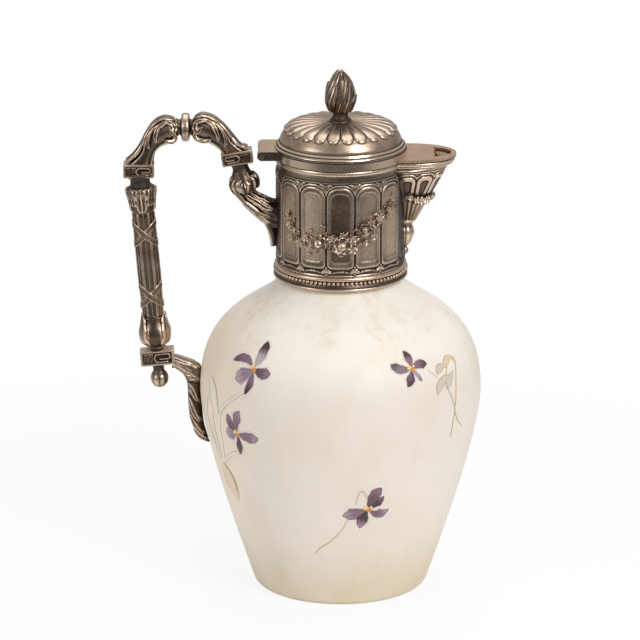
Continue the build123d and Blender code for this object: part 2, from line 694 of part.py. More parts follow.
# ---------------------------------------------------------------- lower arm
# From the lower block: a short arm that turns down into a leaf lying against the glass.
lower_tilt = math.radians(grip_tilt)
arm_root = at(lower_block_x + lower_block_length / 2 * math.cos(lower_tilt),
              lower_block_level + lower_block_length / 2 * math.sin(lower_tilt) - 0.36 * lower_block_height)
lower_points = [at(-(belly_radius + stand * lower_arm_stand), lower_block_level - fall * lower_arm_drop)
                for stand, fall in ((1.0, 0.162), (0.62, 0.324), (0.47, 0.556), (-0.085, 0.833), (-0.87, 1.0))]
lower_path = Spline(arm_root, *lower_points, tangents=[(math.cos(lower_tilt), 0, math.sin(lower_tilt)),
                                                       (0.75, 0, -0.66)])
lower_arm = limb(lower_path, arm_size, [
    (0, 0.51, 0.57), (0.12, 0.54, 0.63), (0.28, 0.57, 0.73), (0.5, 0.54, 0.89), (0.7, 0.51, 1.02),
    (0.86, 0.38, 0.86), (1, 0.08, 0.16)])
lower_arm = lower_arm - glass_outside - lower_key_block
save(lower_arm, "lower_arm")
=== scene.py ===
import math

import bmesh
import bpy
import numpy as np
from mathutils import Matrix, Vector


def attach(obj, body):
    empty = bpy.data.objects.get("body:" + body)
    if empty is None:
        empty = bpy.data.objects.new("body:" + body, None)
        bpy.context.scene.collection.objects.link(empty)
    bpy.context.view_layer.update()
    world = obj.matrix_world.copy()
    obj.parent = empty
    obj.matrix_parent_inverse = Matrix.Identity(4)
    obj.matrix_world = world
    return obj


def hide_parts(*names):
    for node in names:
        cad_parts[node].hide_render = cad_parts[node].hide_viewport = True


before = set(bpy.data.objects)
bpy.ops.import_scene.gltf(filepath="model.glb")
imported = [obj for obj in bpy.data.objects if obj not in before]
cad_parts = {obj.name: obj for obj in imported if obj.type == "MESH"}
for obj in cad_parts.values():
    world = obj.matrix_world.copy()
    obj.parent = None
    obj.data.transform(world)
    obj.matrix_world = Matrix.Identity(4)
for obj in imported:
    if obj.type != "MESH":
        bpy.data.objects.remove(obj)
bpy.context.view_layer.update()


# ======== camera and studio
# The jug stands on a pale sweep. The camera looks slightly down on it from the front, with the
# spout to the right. Soft lamps stand to the right and left, and a broad one hangs above.
MM = 0.001
camera_distance = 2.4
camera_height = 0.87
camera_pitch = 17.173
lens_length = 300.1
sensor_width = 36.0
jug_shift = -0.032
far_clip = 50.0


def stood(name, data, place=(0.0, 0.0, 0.0)):
    """A new object in the scene that holds this data."""
    made = bpy.data.objects.new(name, data)
    made.location = place
    bpy.context.scene.collection.objects.link(made)
    return made


lens = bpy.data.cameras.new("studio_camera")
lens.sensor_width = sensor_width
lens.lens = lens_length
lens.shift_x = jug_shift
lens.clip_end = far_clip
camera = stood("studio_camera", lens, (0.0, -camera_distance, camera_height))
camera.rotation_euler = (math.radians(90.0 - camera_pitch), 0.0, 0.0)
bpy.context.scene.camera = camera
bpy.context.scene.view_settings.view_transform = "Standard"


class Wire:
    """One value in a material, whose sums and products add the maths nodes."""

    def __init__(self, finish, socket):
        self.finish = finish
        self.socket = socket

    def maths(self, operation, *values):
        return self.finish.node("ShaderNodeMath", {"operation": operation}, dict(enumerate(values)))

    def __add__(self, other):
        return self.maths("ADD", self, other)

    def __sub__(self, other):
        return self.maths("SUBTRACT", self, other)

    def __rsub__(self, other):
        return self.maths("SUBTRACT", other, self)

    def __mul__(self, other):
        return self.maths("MULTIPLY", self, other)

    __radd__ = __add__
    __rmul__ = __mul__

    def larger(self, other):
        """The larger of two values."""
        return self.maths("MAXIMUM", self, other)

    def bare(self):
        """The value without its sign."""
        return self.maths("ABSOLUTE", self)

    def step(self, low, high):
        """0 below low, 1 above high and a smooth rise between."""
        settings = {"interpolation_type": "SMOOTHSTEP"}
        values = {"Value": self, "From Min": low, "From Max": high}
        return self.finish.node("ShaderNodeMapRange", settings, values)

    def clipped(self):
        """The value kept between 0 and 1."""
        return self.finish.node("ShaderNodeClamp", {}, {"Value": self})


class Finish:
    """A surface finish: one material and the way to add nodes to it."""

    def __init__(self, name):
        self.material = bpy.data.materials.new(name)
        self.material.use_nodes = True
        self.tree = self.material.node_tree
        self.tree.nodes.clear()

    def node(self, kind, settings=None, values=None, output=0):
        """Adds a node with these settings and input values, and gives one of its outputs."""
        made = self.tree.nodes.new(kind)
        for key, value in (settings or {}).items():
            setattr(made, key, value)
        for key, value in (values or {}).items():
            socket = made.inputs[key]
            if isinstance(value, Wire):
                self.tree.links.new(value.socket, socket)
            else:
                socket.default_value = (*value, 1.0) if socket.type == "RGBA" else value
        return Wire(self, made.outputs[output]) if len(made.outputs) else None

    def place(self):
        """Position on the piece, in metres."""
        return self.node("ShaderNodeTexCoord", output=3)

    def axis(self, number, way=None):
        """One coordinate of the place on the piece, or of another vector."""
        return self.node("ShaderNodeSeparateXYZ", {}, {"Vector": way or self.place()}, output=number)

    def mark(self, name):
        """A value stored on the piece's points."""
        return self.node("ShaderNodeAttribute", {"attribute_name": name}, output=2)

    def mottle(self, grain, detail=3.0, where=None):
        """Cloudy pattern from 0 to 1 whose patches are about grain metres across."""
        values = {"Vector": where or self.place(), "Scale": 1.0 / grain, "Detail": detail}
        return self.node("ShaderNodeTexNoise", {}, values)

    def blend(self, share, first, second):
        """Mix of two colours; share 0 is the first."""
        return self.node("ShaderNodeMix", {"data_type": "RGBA"}, {0: share, 6: first, 7: second}, output=2)

    def bumps(self, height, strength, depth):
        """Normals of a skin that is raised by the height."""
        return self.node("ShaderNodeBump", {}, {"Height": height, "Strength": strength, "Distance": depth})

    def coat(self, values):
        """Closes the finish with its surface shader."""
        surface = self.node("ShaderNodeBsdfPrincipled", {}, values)
        self.node("ShaderNodeOutputMaterial", {}, {"Surface": surface})
        return self.material


def seen_directly(finish):
    """1 for what the camera or a clear glass shows, 0 for the light itself and its gloss."""
    rays = finish.node("ShaderNodeLightPath")
    outputs = rays.socket.node.outputs
    return Wire(finish, outputs["Is Camera Ray"]).larger(Wire(finish, outputs["Is Transmission Ray"]))


class Room(Finish):
    """The room's own shading, made with the same nodes as a finish."""

    def __init__(self, world):
        world.use_nodes = True
        self.tree = world.node_tree
        self.tree.nodes.clear()


studio = bpy.data.worlds.new("studio")
bpy.context.scene.world = studio
room = Room(studio)
white = (1.0, 1.0, 1.0)
room_light = 0.46
room_dark = 0.10
dark_below = (-0.25, 0.12)
dark_ahead = (0.35, 0.88)
room_way = room.node("ShaderNodeTexCoord", output=0)
room_under = 1.0 - room.axis(2, room_way).step(*dark_below)
room_front = room_under * (0.0 - room.axis(1, room_way)).step(*dark_ahead)
room_glow = room_light - room_front * (room_light - room_dark)
room_level = room_glow.larger(seen_directly(room))
room_shade = room.node("ShaderNodeBackground", {}, {"Color": white, "Strength": room_level})
room.node("ShaderNodeOutputWorld", {}, {"Surface": room_shade})

table_radius = 0.42
table_corners = 96
table_fade = (0.22, 0.40)
table_shade = 0.14
floor_mesh = bpy.data.meshes.new("sweep")
floor_turns = np.linspace(0.0, 2.0 * math.pi, table_corners, endpoint=False)
floor_places = [(table_radius * math.cos(turn), table_radius * math.sin(turn), 0.0) for turn in floor_turns]
floor_mesh.from_pydata(floor_places, [], [tuple(range(table_corners))])
floor = stood("sweep", floor_mesh)
paper = Finish("pale_paper")
paper_lit = paper.node("ShaderNodeBsdfDiffuse", {}, {"Color": (0.92, 0.92, 0.92)})
paper_bright = paper.node("ShaderNodeEmission", {}, {"Color": white, "Strength": 1.0})
paper_reach = paper.node("ShaderNodeVectorMath", {"operation": "LENGTH"}, {0: paper.place()}, output=1)
paper_share = seen_directly(paper) * (paper_reach.step(*table_fade) * table_shade + (1.0 - table_shade))
paper_mix = paper.node("ShaderNodeMixShader", {}, {0: paper_share, 1: paper_lit, 2: paper_bright})
paper.node("ShaderNodeOutputMaterial", {}, {"Surface": paper_mix})
floor_mesh.materials.append(paper.material)

# Each lamp by its name, place, width and power.
lamps = (
    ("key_softbox", (0.95, -1.25, 1.15), 0.9, 19.0),
    ("fill_softbox", (-1.3, -0.9, 0.75), 0.7, 5.0),
    ("top_softbox", (0.1, 0.5, 1.6), 1.4, 9.0),
)
lamp_aim = Vector((0.0, 0.0, 0.12))
for lamp_name, lamp_place, lamp_size, lamp_power in lamps:
    lamp = bpy.data.lights.new(lamp_name, "AREA")
    lamp.shape = "SQUARE"
    lamp.size = lamp_size
    lamp.energy = lamp_power
    lamp_turn = (lamp_aim - Vector(lamp_place)).to_track_quat("-Z", "Y")
    stood(lamp_name, lamp, lamp_place).rotation_euler = lamp_turn.to_euler()


# ======== glass body
# One blown bubble of clear glass, cut to a round foot and frosted with acid all over, which
# leaves a satin skin with faint cloudy etching. Its neck stands inside the silver collar.
foot_radius = 41.5
foot_edge = 4.0
belly_radius = 66.3
belly_level = 96.5
shoulder_level = 151.0
shoulder_radius = 28.9
glass_wall = 3.2
glass_floor = 7.0
neck_radius = 26.6
neck_top = 171.0
foot_lean = 0.354
side_steps = 60
glass_around = 192


def bow(start, pull_start, pull_end, end, count):
    """Points on a smooth bow from start to end."""
    share = np.linspace(0.0, 1.0, count)[:, None]
    back = 1.0 - share
    corners = [np.array(corner, dtype=float) for corner in (start, pull_start, pull_end, end)]
    return (back ** 3 * corners[0] + 3 * back ** 2 * share * corners[1]
            + 3 * back * share ** 2 * corners[2] + share ** 3 * corners[3])


def bottle_side(inset, floor_level):
    """Radius and level of the bottle's side from its foot to its neck, or of its hollow."""
    foot = foot_radius - inset
    belly = belly_radius - inset
    shoulder = shoulder_radius - inset
    neck = neck_radius - inset
    start = floor_level + foot_edge
    low = 0.24 * belly_level
    climb = shoulder_level - belly_level
    down = 0.265 * climb
    turn = np.linspace(-math.pi / 2, -math.atan(foot_lean), 10)
    edge = np.stack([foot - foot_edge + foot_edge * np.cos(turn), start + foot_edge * np.sin(turn)], axis=1)
    lower = bow(edge[-1], (foot + foot_lean * low, start + low), (belly, belly_level * 0.79),
                (belly, belly_level), side_steps)
    upper = bow((belly, belly_level), (belly, belly_level + 0.76 * climb),
                (shoulder + 0.30 * down, shoulder_level - down), (shoulder, shoulder_level), side_steps)
    upright = np.array([(neck + 0.4, shoulder_level + 3.2), (neck, shoulder_level + 5.0), (neck, neck_top)])
    return np.concatenate([edge, lower[1:], upper[1:], upright])


def mesh_piece(name, points, faces, body, nodes=(), slot=None, finish=None, merge=0.0):
    """A piece in its place: closed, faced outwards and smooth, riding on its body."""
    mesh = bpy.data.meshes.new(name)
    mesh.from_pydata((np.asarray(points) * MM).tolist(), [], faces)
    shape = bmesh.new()
    shape.from_mesh(mesh)
    if merge:
        bmesh.ops.remove_doubles(shape, verts=shape.verts, dist=merge * MM)
    bmesh.ops.recalc_face_normals(shape, faces=shape.faces)
    if shape.calc_volume(signed=True) < 0:
        bmesh.ops.reverse_faces(shape, faces=shape.faces)
    shape.to_mesh(mesh)
    shape.free()
    mesh.shade_smooth()
    piece = stood(name, mesh)
    if body:
        dress(piece, body, nodes, finish)
    return piece


def dress(piece, body, nodes, finish):
    """Gives a piece its finish, its body and the nodes that it stands for."""
    if finish:
        piece.data.materials.clear()
        piece.data.materials.append(finish)
    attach(piece, body)
    if nodes:
        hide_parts(*nodes)


def grid_faces(rows, columns, round_rows, round_columns, first=0):
    """Faces of a grid of points; either way may close on itself."""
    last_row = rows if round_rows else rows - 1
    last_column = columns if round_columns else columns - 1
    row, column = np.meshgrid(np.arange(last_row), np.arange(last_column), indexing="ij")
    next_row = (row + 1) % rows
    next_column = (column + 1) % columns
    corners = [row * columns + column, row * columns + next_column,
               next_row * columns + next_column, next_row * columns + column]
    return (np.stack(corners, axis=-1).reshape(-1, 4) + first).tolist()


def turned_points(section, angles):
    """Grid of points from a turned half section of radius and level, which may differ by angle."""
    radius, level = section[0], section[1]
    radius = np.broadcast_to(radius, (radius.shape[0], len(angles)))
    level = np.broadcast_to(level, (level.shape[0], len(angles)))
    return np.stack([radius * np.cos(angles), radius * np.sin(angles), level], axis=-1)


def around(count):
    """Angles evenly spaced round a full turn."""
    return np.linspace(0.0, 2.0 * math.pi, count, endpoint=False)


glass_outer = bottle_side(0.0, 0.0)
glass_inner = bottle_side(glass_wall, glass_floor)[::-1]
lip_level = neck_top + 0.35
glass_lip = np.array([(neck_radius - 0.25, lip_level), (neck_radius - glass_wall + 0.25, lip_level)])
axis_low = np.array([(0.0, 0.0), (30.0, 0.0)])
axis_high = np.array([(25.0, glass_floor), (0.0, glass_floor)])
glass_section = np.concatenate([axis_low, glass_outer, glass_lip, glass_inner, axis_high])
glass_points = turned_points((glass_section[:, :1], glass_section[:, 1:]), around(glass_around))

# Where the glass changes its tone, in metres: by level for the foot, the shoulder, the gilding under
# the collar and the etched cloud, and across for the left side, which is painted warmer as painted shade.
foot_fade = (0.004, 0.040)
shoulder_fade = (0.104, 0.138)
gilt_fade = (0.1486, 0.1502)
etched_fade = (0.122, 0.134)
left_shade_fade = (-0.066, -0.034)
frost = Finish("frosted_glass")
frost_cloud = frost.mottle(0.045, 2.0)
frost_grain = frost.mottle(0.0009, 2.0)
frost_long = frost.node("ShaderNodeMapping", {}, {"Vector": frost.place(), "Scale": (1.0, 1.0, 0.35)})
frost_streak = frost.mottle(0.012, 4.0, frost_long)
frost_height = frost.axis(2)
frost_etched = (frost.mottle(0.0045, 6.0).step(0.50, 0.60) * frost_height.step(*etched_fade)
                * frost_cloud.step(0.45, 0.6))
frost_tint = (frost_cloud.step(0.42, 0.72) * 0.3 + frost_streak.step(0.5, 0.72) * 0.2
              + (1.0 - frost_height.step(*foot_fade)) * 0.75 + frost_height.step(*gilt_fade) * 0.7
              + frost_etched * 0.3).clipped()
frost_body = frost.blend(frost_height.step(*shoulder_fade), (0.80, 0.725, 0.65), (0.91, 0.85, 0.77))
# Painted shade: the bottle's left side is painted a warmer tan, for the light that falls off on that side.
frost_left_shade = 1.0 - frost.axis(0).step(*left_shade_fade)
frost_shaded_side = frost.blend(frost_left_shade * 0.8, frost_body, (0.96, 0.80, 0.60))
frost_colour = frost.blend(frost_tint, frost_shaded_side, (0.70, 0.60, 0.445))
frosted_glass = frost.coat({
    "Base Color": frost_colour,
    "Roughness": 0.42 + 0.16 * frost_streak,
    "IOR": 1.5,
    "Normal": frost.bumps(frost_grain, 0.12, 0.0001),
})
mesh_piece("frosted_bottle", glass_points.reshape(-1, 3),
           grid_faces(len(glass_section), glass_around, False, True), "root",
           ["glass_foot", "glass_body", "glass_neck"], "frosted_glass", frosted_glass, merge=0.005)


# ======== plaster bed
# White plaster poured between the glass neck and the silver collar holds the mount on.
chalk = Finish("plaster")
chalk_cloud = chalk.mottle(0.004)
plaster = chalk.coat({
    "Base Color": chalk.blend(chalk_cloud, (0.62, 0.58, 0.50), (0.78, 0.75, 0.68)),
    "Roughness": 0.85 + 0.1 * chalk_cloud,
    "Normal": chalk.bumps(chalk.mottle(0.0007), 0.4, 0.0002),
})


def dress_node(name, finish):
    """Gives a part of the frame that stays as it is its finish."""
    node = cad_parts[name]
    node.data.materials.clear()
    node.data.materials.append(finish)


dress_node("neck_plaster", plaster)


# ======== collar wall
# A sleeve of silver sheet, stamped with fourteen arched fields in flat frames, with a thin
# bead along the arches and small leaves between their feet. A window opens into the spout.
collar_radius = 29.7
collar_skin = 1.0
collar_low = 151.6
rim_level = 208.6
panel_count = 14
panel_pitch = 2.0 * math.pi * collar_radius / panel_count
pad_half = 6.38
pad_low = 161.9
pad_crown = 201.3
field_half = 4.3
field_low = 165.2
field_crown = 198.2
# How much brighter each field is rubbed than its neighbours, from the front towards the spout.
panel_rub = (-0.75, 0.4, 1.0, 0.5, 0.3, 0.4, 0.5, 0.2, 0.4, 0.6, 0.3, 0.5, 0.65, 1.7)
foot_wire = 158.3
foot_wave = 160.2
band_low = 202.6
top_wire = 203.3
window_half = 5.5
window_low = 189.1
window_high = 205.1
collar_around = panel_count * 40
rubbed_colour = (0.77, 0.60, 0.465)
oxide_and_shade_colour = (0.026, 0.019, 0.015)


def silver_finish(name, light, dark, roughness, stipple, creases=(), clean=0.0, flank=0.0):
    """Old silver: tarnished brown, near black in its hollows and creases and bright where rubbed; its dark
    mark holds both tarnish and painted shade.
    """
    silver = Finish(name)
    hollow = silver.mark("hollow")
    tarnish_and_shade = silver.mark("tarnish_and_shade")
    cloud = silver.mottle(0.011, 4.0)
    speck = silver.mottle(0.0011, 3.0)
    grain = silver.mottle(0.00035, 2.0)
    for crease in creases:
        near = (silver.axis(2) - crease * MM).bare()
        hollow = hollow + (1.0 - near.step(0.10 * MM, 0.46 * MM)) * 0.95
    if flank:
        hollow = hollow + silver.axis(1).bare().step((flank - 0.10) * MM, (flank - 0.03) * MM) * 0.8
    # The dark mark holds painted shade as well as tarnish, so these blends paint shade into the colour too.
    sunk = (hollow + tarnish_and_shade * 0.06 + (cloud - 0.5) * 0.35 + (speck - 0.5) * 0.30 - clean).step(0.0, 0.62)
    rubbed = ((0.0 - hollow) - tarnish_and_shade * 0.2 + (cloud - 0.5) * 0.5).step(0.06, 0.62)
    wear_and_shade = (0.5 + (cloud - 0.5) * 1.3 + (speck - 0.5) * 0.3 - tarnish_and_shade * 0.5).clipped()
    worn_and_shaded = silver.blend(wear_and_shade, dark, light)
    bright = silver.blend(rubbed * 0.8, worn_and_shaded, rubbed_colour)
    colour = silver.blend(sunk, bright, oxide_and_shade_colour)
    return silver.coat({
        "Base Color": colour,
        "Metallic": 1.0 - sunk * 0.55,
        "Roughness": (roughness + sunk * 0.30 + (speck - 0.5) * 0.16 - rubbed * 0.06).clipped(),
        "Normal": silver.bumps(grain + speck * stipple, 0.22, 0.00012),
    })


old_silver = silver_finish("old_silver", (0.52, 0.385, 0.285), (0.112, 0.082, 0.062), 0.33, 0.6)


def arch_distance(across, level, half, low, crown, corner, head):
    """Distance outside an upright slot with softly arched shoulders and rounded lower corners."""
    side = np.abs(across)
    middle = (low + crown) / 2
    corner = np.where(level > middle, head, corner)
    corner_x = side - (half - corner)
    corner_z = np.abs(level - middle) - ((crown - low) / 2 - corner)
    return (np.hypot(np.maximum(corner_x, 0), np.maximum(corner_z, 0))
            + np.minimum(np.maximum(corner_x, corner_z), 0) - corner)


def rise(value, low, high):
    """Smooth step from 0 at low to 1 at high."""
    share = np.clip((value - low) / (high - low), 0.0, 1.0)
    return share * share * (3.0 - 2.0 * share)


def wire_bead(distance, half):
    """Round top of a wire that lies where the distance is 0."""
    return np.sqrt(np.clip(1.0 - (distance / half) ** 2, 0.0, 1.0))


def leaf_lobe(across, level, half_width, half_height):
    """Domed leaf with pointed ends, about its own middle."""
    reach = np.clip(1.0 - (level / half_height) ** 2, 0.0, 1.0)
    return wire_bead(across, half_width * reach + 1e-6) * np.sqrt(reach)


def panel_gaps(angle, level):
    """Distances outside the nearest pad and its field, and the places across pad and gap."""
    turn = (angle + math.pi / 2) / (2.0 * math.pi) * panel_count
    across = ((turn + 0.5) % 1.0 - 0.5) * panel_pitch
    between = (turn % 1.0 - 0.5) * panel_pitch
    pad_gap = arch_distance(across, level, pad_half, pad_low, pad_crown, 2.4, 5.6)
    field_gap = arch_distance(across, level, field_half, field_low, field_crown, 1.9, 3.6)
    return pad_gap, field_gap, turn, between


def mirrored(leaves):
    """Leaves of side, level, width and height, and the same leaves on the other side."""
    return [(hand * side, *sizes) for side, *sizes in leaves for hand in ((-1.0, 1.0) if side else (1.0,))]


crown_leaves = mirrored(((0.0, 200.3, 0.85, 2.7), (1.35, 201.5, 0.8, 1.5), (2.3, 202.4, 0.9, 0.5)))
foot_leaves = mirrored(((0.0, 161.5, 0.72, 2.2), (1.0, 160.9, 0.6, 1.5), (1.85, 160.3, 0.45, 0.9),
                        (0.0, 159.4, 0.6, 0.6)))


def collar_relief(angle, level):
    """Height of the stamped work above the sleeve."""
    pad_gap, field_gap, turn, between = panel_gaps(angle, level)
    height = 0.50 * rise(-pad_gap, -0.08, 0.42) + 0.10 * wire_bead(pad_gap + 0.62, 0.42)
    height = height - 0.17 * rise(-field_gap, -0.3, 0.4) + 0.06 * wire_bead(field_gap - 0.35, 0.35)
    stipple = np.random.default_rng(4).uniform(-1.0, 1.0, height.shape)
    height = height + 0.05 * stipple * (field_gap < -0.4)
    crown = wire_bead(pad_gap - 0.75, 0.45) * rise(level, 195.4, 196.4)
    height = np.maximum(height, 0.58 * crown)
    for side, lift, width, tall in crown_leaves:
        leaf = leaf_lobe(between - side, level - lift, width, tall)
        height = np.maximum(height, 0.78 * leaf - 0.3 * wire_bead(between - side, 0.22) * (leaf > 0))
    for side, lift, width, tall in foot_leaves:
        height = np.maximum(height, 0.66 * leaf_lobe(between - side, level - lift, width, tall))
    wave = wire_bead(level - (foot_wave + 0.5 * np.cos(turn * 2 * math.pi)), 0.3) * (pad_gap > 0.3)
    height = np.maximum(height, 0.34 * wave) + 0.34 * wire_bead(level - foot_wire, 0.45)
    return height + 0.16 * rise(level, band_low, band_low + 0.3) + 0.3 * wire_bead(level - top_wire, 0.3)


def collar_tarnish_and_shade(angle, level):
    """How dark the sleeve has gone, with painted shade beside the spout and the handle: fields are rubbed
    lighter than the pads round them.
    """
    pad_gap, field_gap, turn, _ = panel_gaps(angle, level)
    rub = np.array(panel_rub)[np.floor(turn + 0.5).astype(int) % panel_count]
    from_spout = np.abs((angle + math.pi) % (2.0 * math.pi) - math.pi)
    from_handle = np.abs(angle - math.pi)
    dark = 0.75 - 0.40 * rise(-pad_gap, -0.2, 0.3) - (0.45 + rub) * rise(-field_gap, -0.3, 0.6)
    # Painted shade: the sleeve is darkened beside the spout's joint and beside the handle's arm.
    dark = dark + 4.5 * (1.0 - rise(from_spout, 0.36, 0.52)) + 2.0 * (1.0 - rise(from_handle, 0.30, 0.46))
    return dark - 0.35 * wire_bead(pad_gap + 0.62, 0.5) - 0.45 * rise(level, band_low, band_low + 1.0)


work_low = 158.0
work_high = 203.6
sleeve_top = rim_level - 0.02
collar_rows = np.concatenate([np.linspace(low, high, count) for low, high, count in (
    (collar_low, work_low, 8), (work_low, work_high, 130), (work_high, sleeve_top, 9))])
collar_rows = np.delete(collar_rows, (7, 8 + 129))
window_rows = [int(np.argmin(np.abs(collar_rows - level))) for level in (window_low, window_high)]
collar_rows[window_rows] = (window_low, window_high)
collar_angles = around(collar_around)
outer_radius = collar_radius + collar_relief(collar_angles[None, :], collar_rows[:, None])
outer_wall = turned_points((outer_radius, collar_rows[:, None]), collar_angles)
inner_rows = np.array([sleeve_top, window_high, window_low, collar_low])
inner_radius = np.full((len(inner_rows), 1), collar_radius - collar_skin)
inner_wall = turned_points((inner_radius, inner_rows[:, None]), collar_angles)
sleeve_points = np.concatenate([outer_wall.reshape(-1, 3), inner_wall.reshape(-1, 3)])
sleeve_rows = len(collar_rows) + len(inner_rows)
window_columns = np.abs((collar_angles + math.pi) % (2 * math.pi) - math.pi) * collar_radius < window_half
window_side = int(np.sum(window_columns) // 2)
row_first = len(collar_rows)


def in_window(row, column):
    """Whether the face that starts at this row and column lies in the window."""
    place = (column + collar_around // 2) % collar_around - collar_around // 2
    if not -window_side <= place < window_side:
        return False
    return window_rows[0] <= row < window_rows[1] or row == row_first + 1


sleeve_faces = []
for number, face in enumerate(grid_faces(sleeve_rows, collar_around, True, True)):
    if not in_window(number // collar_around, number % collar_around):
        sleeve_faces.append(face)
for column in range(-window_side, window_side):
    left, right = column % collar_around, (column + 1) % collar_around
    for outer_row, inner_row in ((window_rows[0], row_first + 2), (window_rows[1], row_first + 1)):
        outer, inner = outer_row * collar_around, inner_row * collar_around
        sleeve_faces.append([outer + left, outer + right, inner + right, inner + left])
for column in (-window_side % collar_around, window_side):
    side_face = [row * collar_around + column for row in range(window_rows[0], window_rows[1] + 1)]
    side_face += [(row_first + 1) * collar_around + column, (row_first + 2) * collar_around + column]
    sleeve_faces.append(side_face)


def stored(items, key, width, kind=float):
    """What is held for each of these points or edges, as rows of numbers."""
    values = np.empty(len(items) * width, dtype=kind)
    items.foreach_get(key, values)
    return values.reshape(-1, width)


def store(mesh, name, values, kind="FLOAT", key="value"):
    """Stores a value, or three for a vector, on each point of a mesh."""
    attribute = mesh.attributes.new(name, kind, "POINT")
    attribute.data.foreach_set(key, np.asarray(values, dtype=np.float32).ravel())


def mark_hollows(piece, passes, depth):
    """Stores on each point how far it lies in a hollow, or stands on a ridge as a minus value."""
    mesh = piece.data
    place = stored(mesh.vertices, "co", 3) / MM
    edges = stored(mesh.edges, "vertices", 2, np.int64)
    start, end = edges.T.ravel(), edges[:, ::-1].T.ravel()
    links = np.maximum(np.bincount(start, minlength=len(place)), 1)[:, None]
    smooth = place.copy()
    for _ in range(passes):
        pulled = [np.bincount(start, weights=smooth[end, axis], minlength=len(place)) for axis in range(3)]
        smooth = 0.35 * smooth + 0.65 * np.stack(pulled, axis=1) / links
    sunk = np.einsum("ij,ij->i", smooth - place, stored(mesh.vertices, "normal", 3)) / depth
    store(mesh, "hollow", np.clip(sunk, -1.0, 1.0))
    return piece


def mark_tarnish_and_shade(piece, values):
    """Stores how dark each point is, by tarnish and by painted shade: 0 as usual, 5 nearly black, below 0
    rubbed bright.
    """
    vertices = piece.data.vertices
    if callable(values):
        values = values(stored(vertices, "co", 3) / MM)
    store(piece.data, "tarnish_and_shade", np.broadcast_to(values, (len(vertices),)))
    return piece


def silver_piece(name, points, faces, nodes, dark, passes, depth, body="root", merge=0.0):
    """A piece of old silver, aged by its hollows and darkened by its tarnish and painted shade."""
    piece = mesh_piece(name, points.reshape(-1, 3), faces, body, nodes, "old_silver", old_silver, merge)
    return mark_tarnish_and_shade(mark_hollows(piece, passes, depth), dark)


sleeve_tarnish_and_shade = np.concatenate([collar_tarnish_and_shade(collar_angles[None, :], collar_rows[:, None]).ravel(),
                              np.full(len(inner_rows) * collar_around, 0.5)])
silver_piece("collar_sleeve", sleeve_points, sleeve_faces, ["collar_wall"], sleeve_tarnish_and_shade, 24, 0.2)


# ======== collar foot
# A drawn moulding soldered round the sleeve's foot: a plain lip, a channel that holds ninety
# small beads and a half round above them.
bead_count = 90
bead_level = 155.0
bead_radius = 1.0
bead_circle = 30.6


def turned_ring(name, corners, node, dark, columns=240):
    """Silver ring turned from a closed section, given as points of radius and level."""
    section = np.array(corners, dtype=float)
    points = turned_points((section[:, :1], section[:, 1:]), around(columns))
    silver_piece(name, points, grid_faces(len(section), columns, True, True), [node], dark, 10, 0.2)


def arc(centre, radius, start, end, count):
    """Points of radius and level on an arc, its angles in degrees."""
    turn = np.radians(np.linspace(start, end, count))
    return [(centre[0] + radius * math.cos(a), centre[1] + radius * math.sin(a)) for a in turn]


foot_corners = [(29.72, 151.25), (30.9, 151.2)]
foot_corners += arc((30.75, 152.0), 0.72, -80, 60, 7)
foot_corners += [(30.75, 153.0), (30.45, 153.6)]
foot_corners += arc((30.75, 155.0), 0.95, 235, 125, 8)
foot_corners += arc((29.9, 156.9), 1.1, -65, 85, 10)
foot_corners += [(29.75, 158.05)]
turned_ring("collar_foot_moulding", foot_corners, "collar_foot", 0.75)


def small_dome(name, radius, rings=5, sides=10):
    """A small round bead, for setting in rows."""
    turn = np.linspace(-math.pi / 2, math.pi / 2, rings + 1)
    section = np.stack([radius * np.cos(turn), radius * np.sin(turn)], axis=1)
    points = turned_points((section[:, :1], section[:, 1:]), around(sides)).reshape(-1, 3)
    return mesh_piece(name, points, grid_faces(len(section), sides, False, True), None, merge=0.01)


def setting_tree():
    """Nodes that set one small piece on every point, turned and sized by the point's values."""
    tree = bpy.data.node_groups.new("set_pieces", "GeometryNodeTree")
    inputs = {"Places": "Geometry", "Piece": "Object", "Size": "Float", "Finish": "Material"}
    for name, kind in inputs.items():
        tree.interface.new_socket(name, in_out="INPUT", socket_type="NodeSocket" + kind)
    tree.interface.new_socket("Set", in_out="OUTPUT", socket_type="NodeSocketGeometry")
    ends, result, piece, turn, size, sized, euler, setting, realized, finished = (
        tree.nodes.new(kind) for kind in (
            "NodeGroupInput", "NodeGroupOutput", "GeometryNodeObjectInfo",
            "GeometryNodeInputNamedAttribute", "GeometryNodeInputNamedAttribute", "ShaderNodeMath",
            "FunctionNodeEulerToRotation", "GeometryNodeInstanceOnPoints",
            "GeometryNodeRealizeInstances", "GeometryNodeSetMaterial"))
    for node, name, kind in ((turn, "turn", "FLOAT_VECTOR"), (size, "size", "FLOAT")):
        node.data_type = kind
        node.inputs["Name"].default_value = name
    sized.operation = "MULTIPLY"
    for source, target in (
        (ends.outputs["Places"], setting.inputs["Points"]),
        (ends.outputs["Piece"], piece.inputs["Object"]),
        (piece.outputs["Geometry"], setting.inputs["Instance"]),
        (turn.outputs["Attribute"], euler.inputs[0]),
        (euler.outputs[0], setting.inputs["Rotation"]),
        (size.outputs["Attribute"], sized.inputs[0]),
        (ends.outputs["Size"], sized.inputs[1]),
        (sized.outputs[0], setting.inputs["Scale"]),
        (setting.outputs["Instances"], realized.inputs["Geometry"]),
        (realized.outputs["Geometry"], finished.inputs["Geometry"]),
        (ends.outputs["Finish"], finished.inputs["Material"]),
        (finished.outputs["Geometry"], result.inputs["Set"]),
    ):
        tree.links.new(source, target)
    return tree


set_pieces = setting_tree()


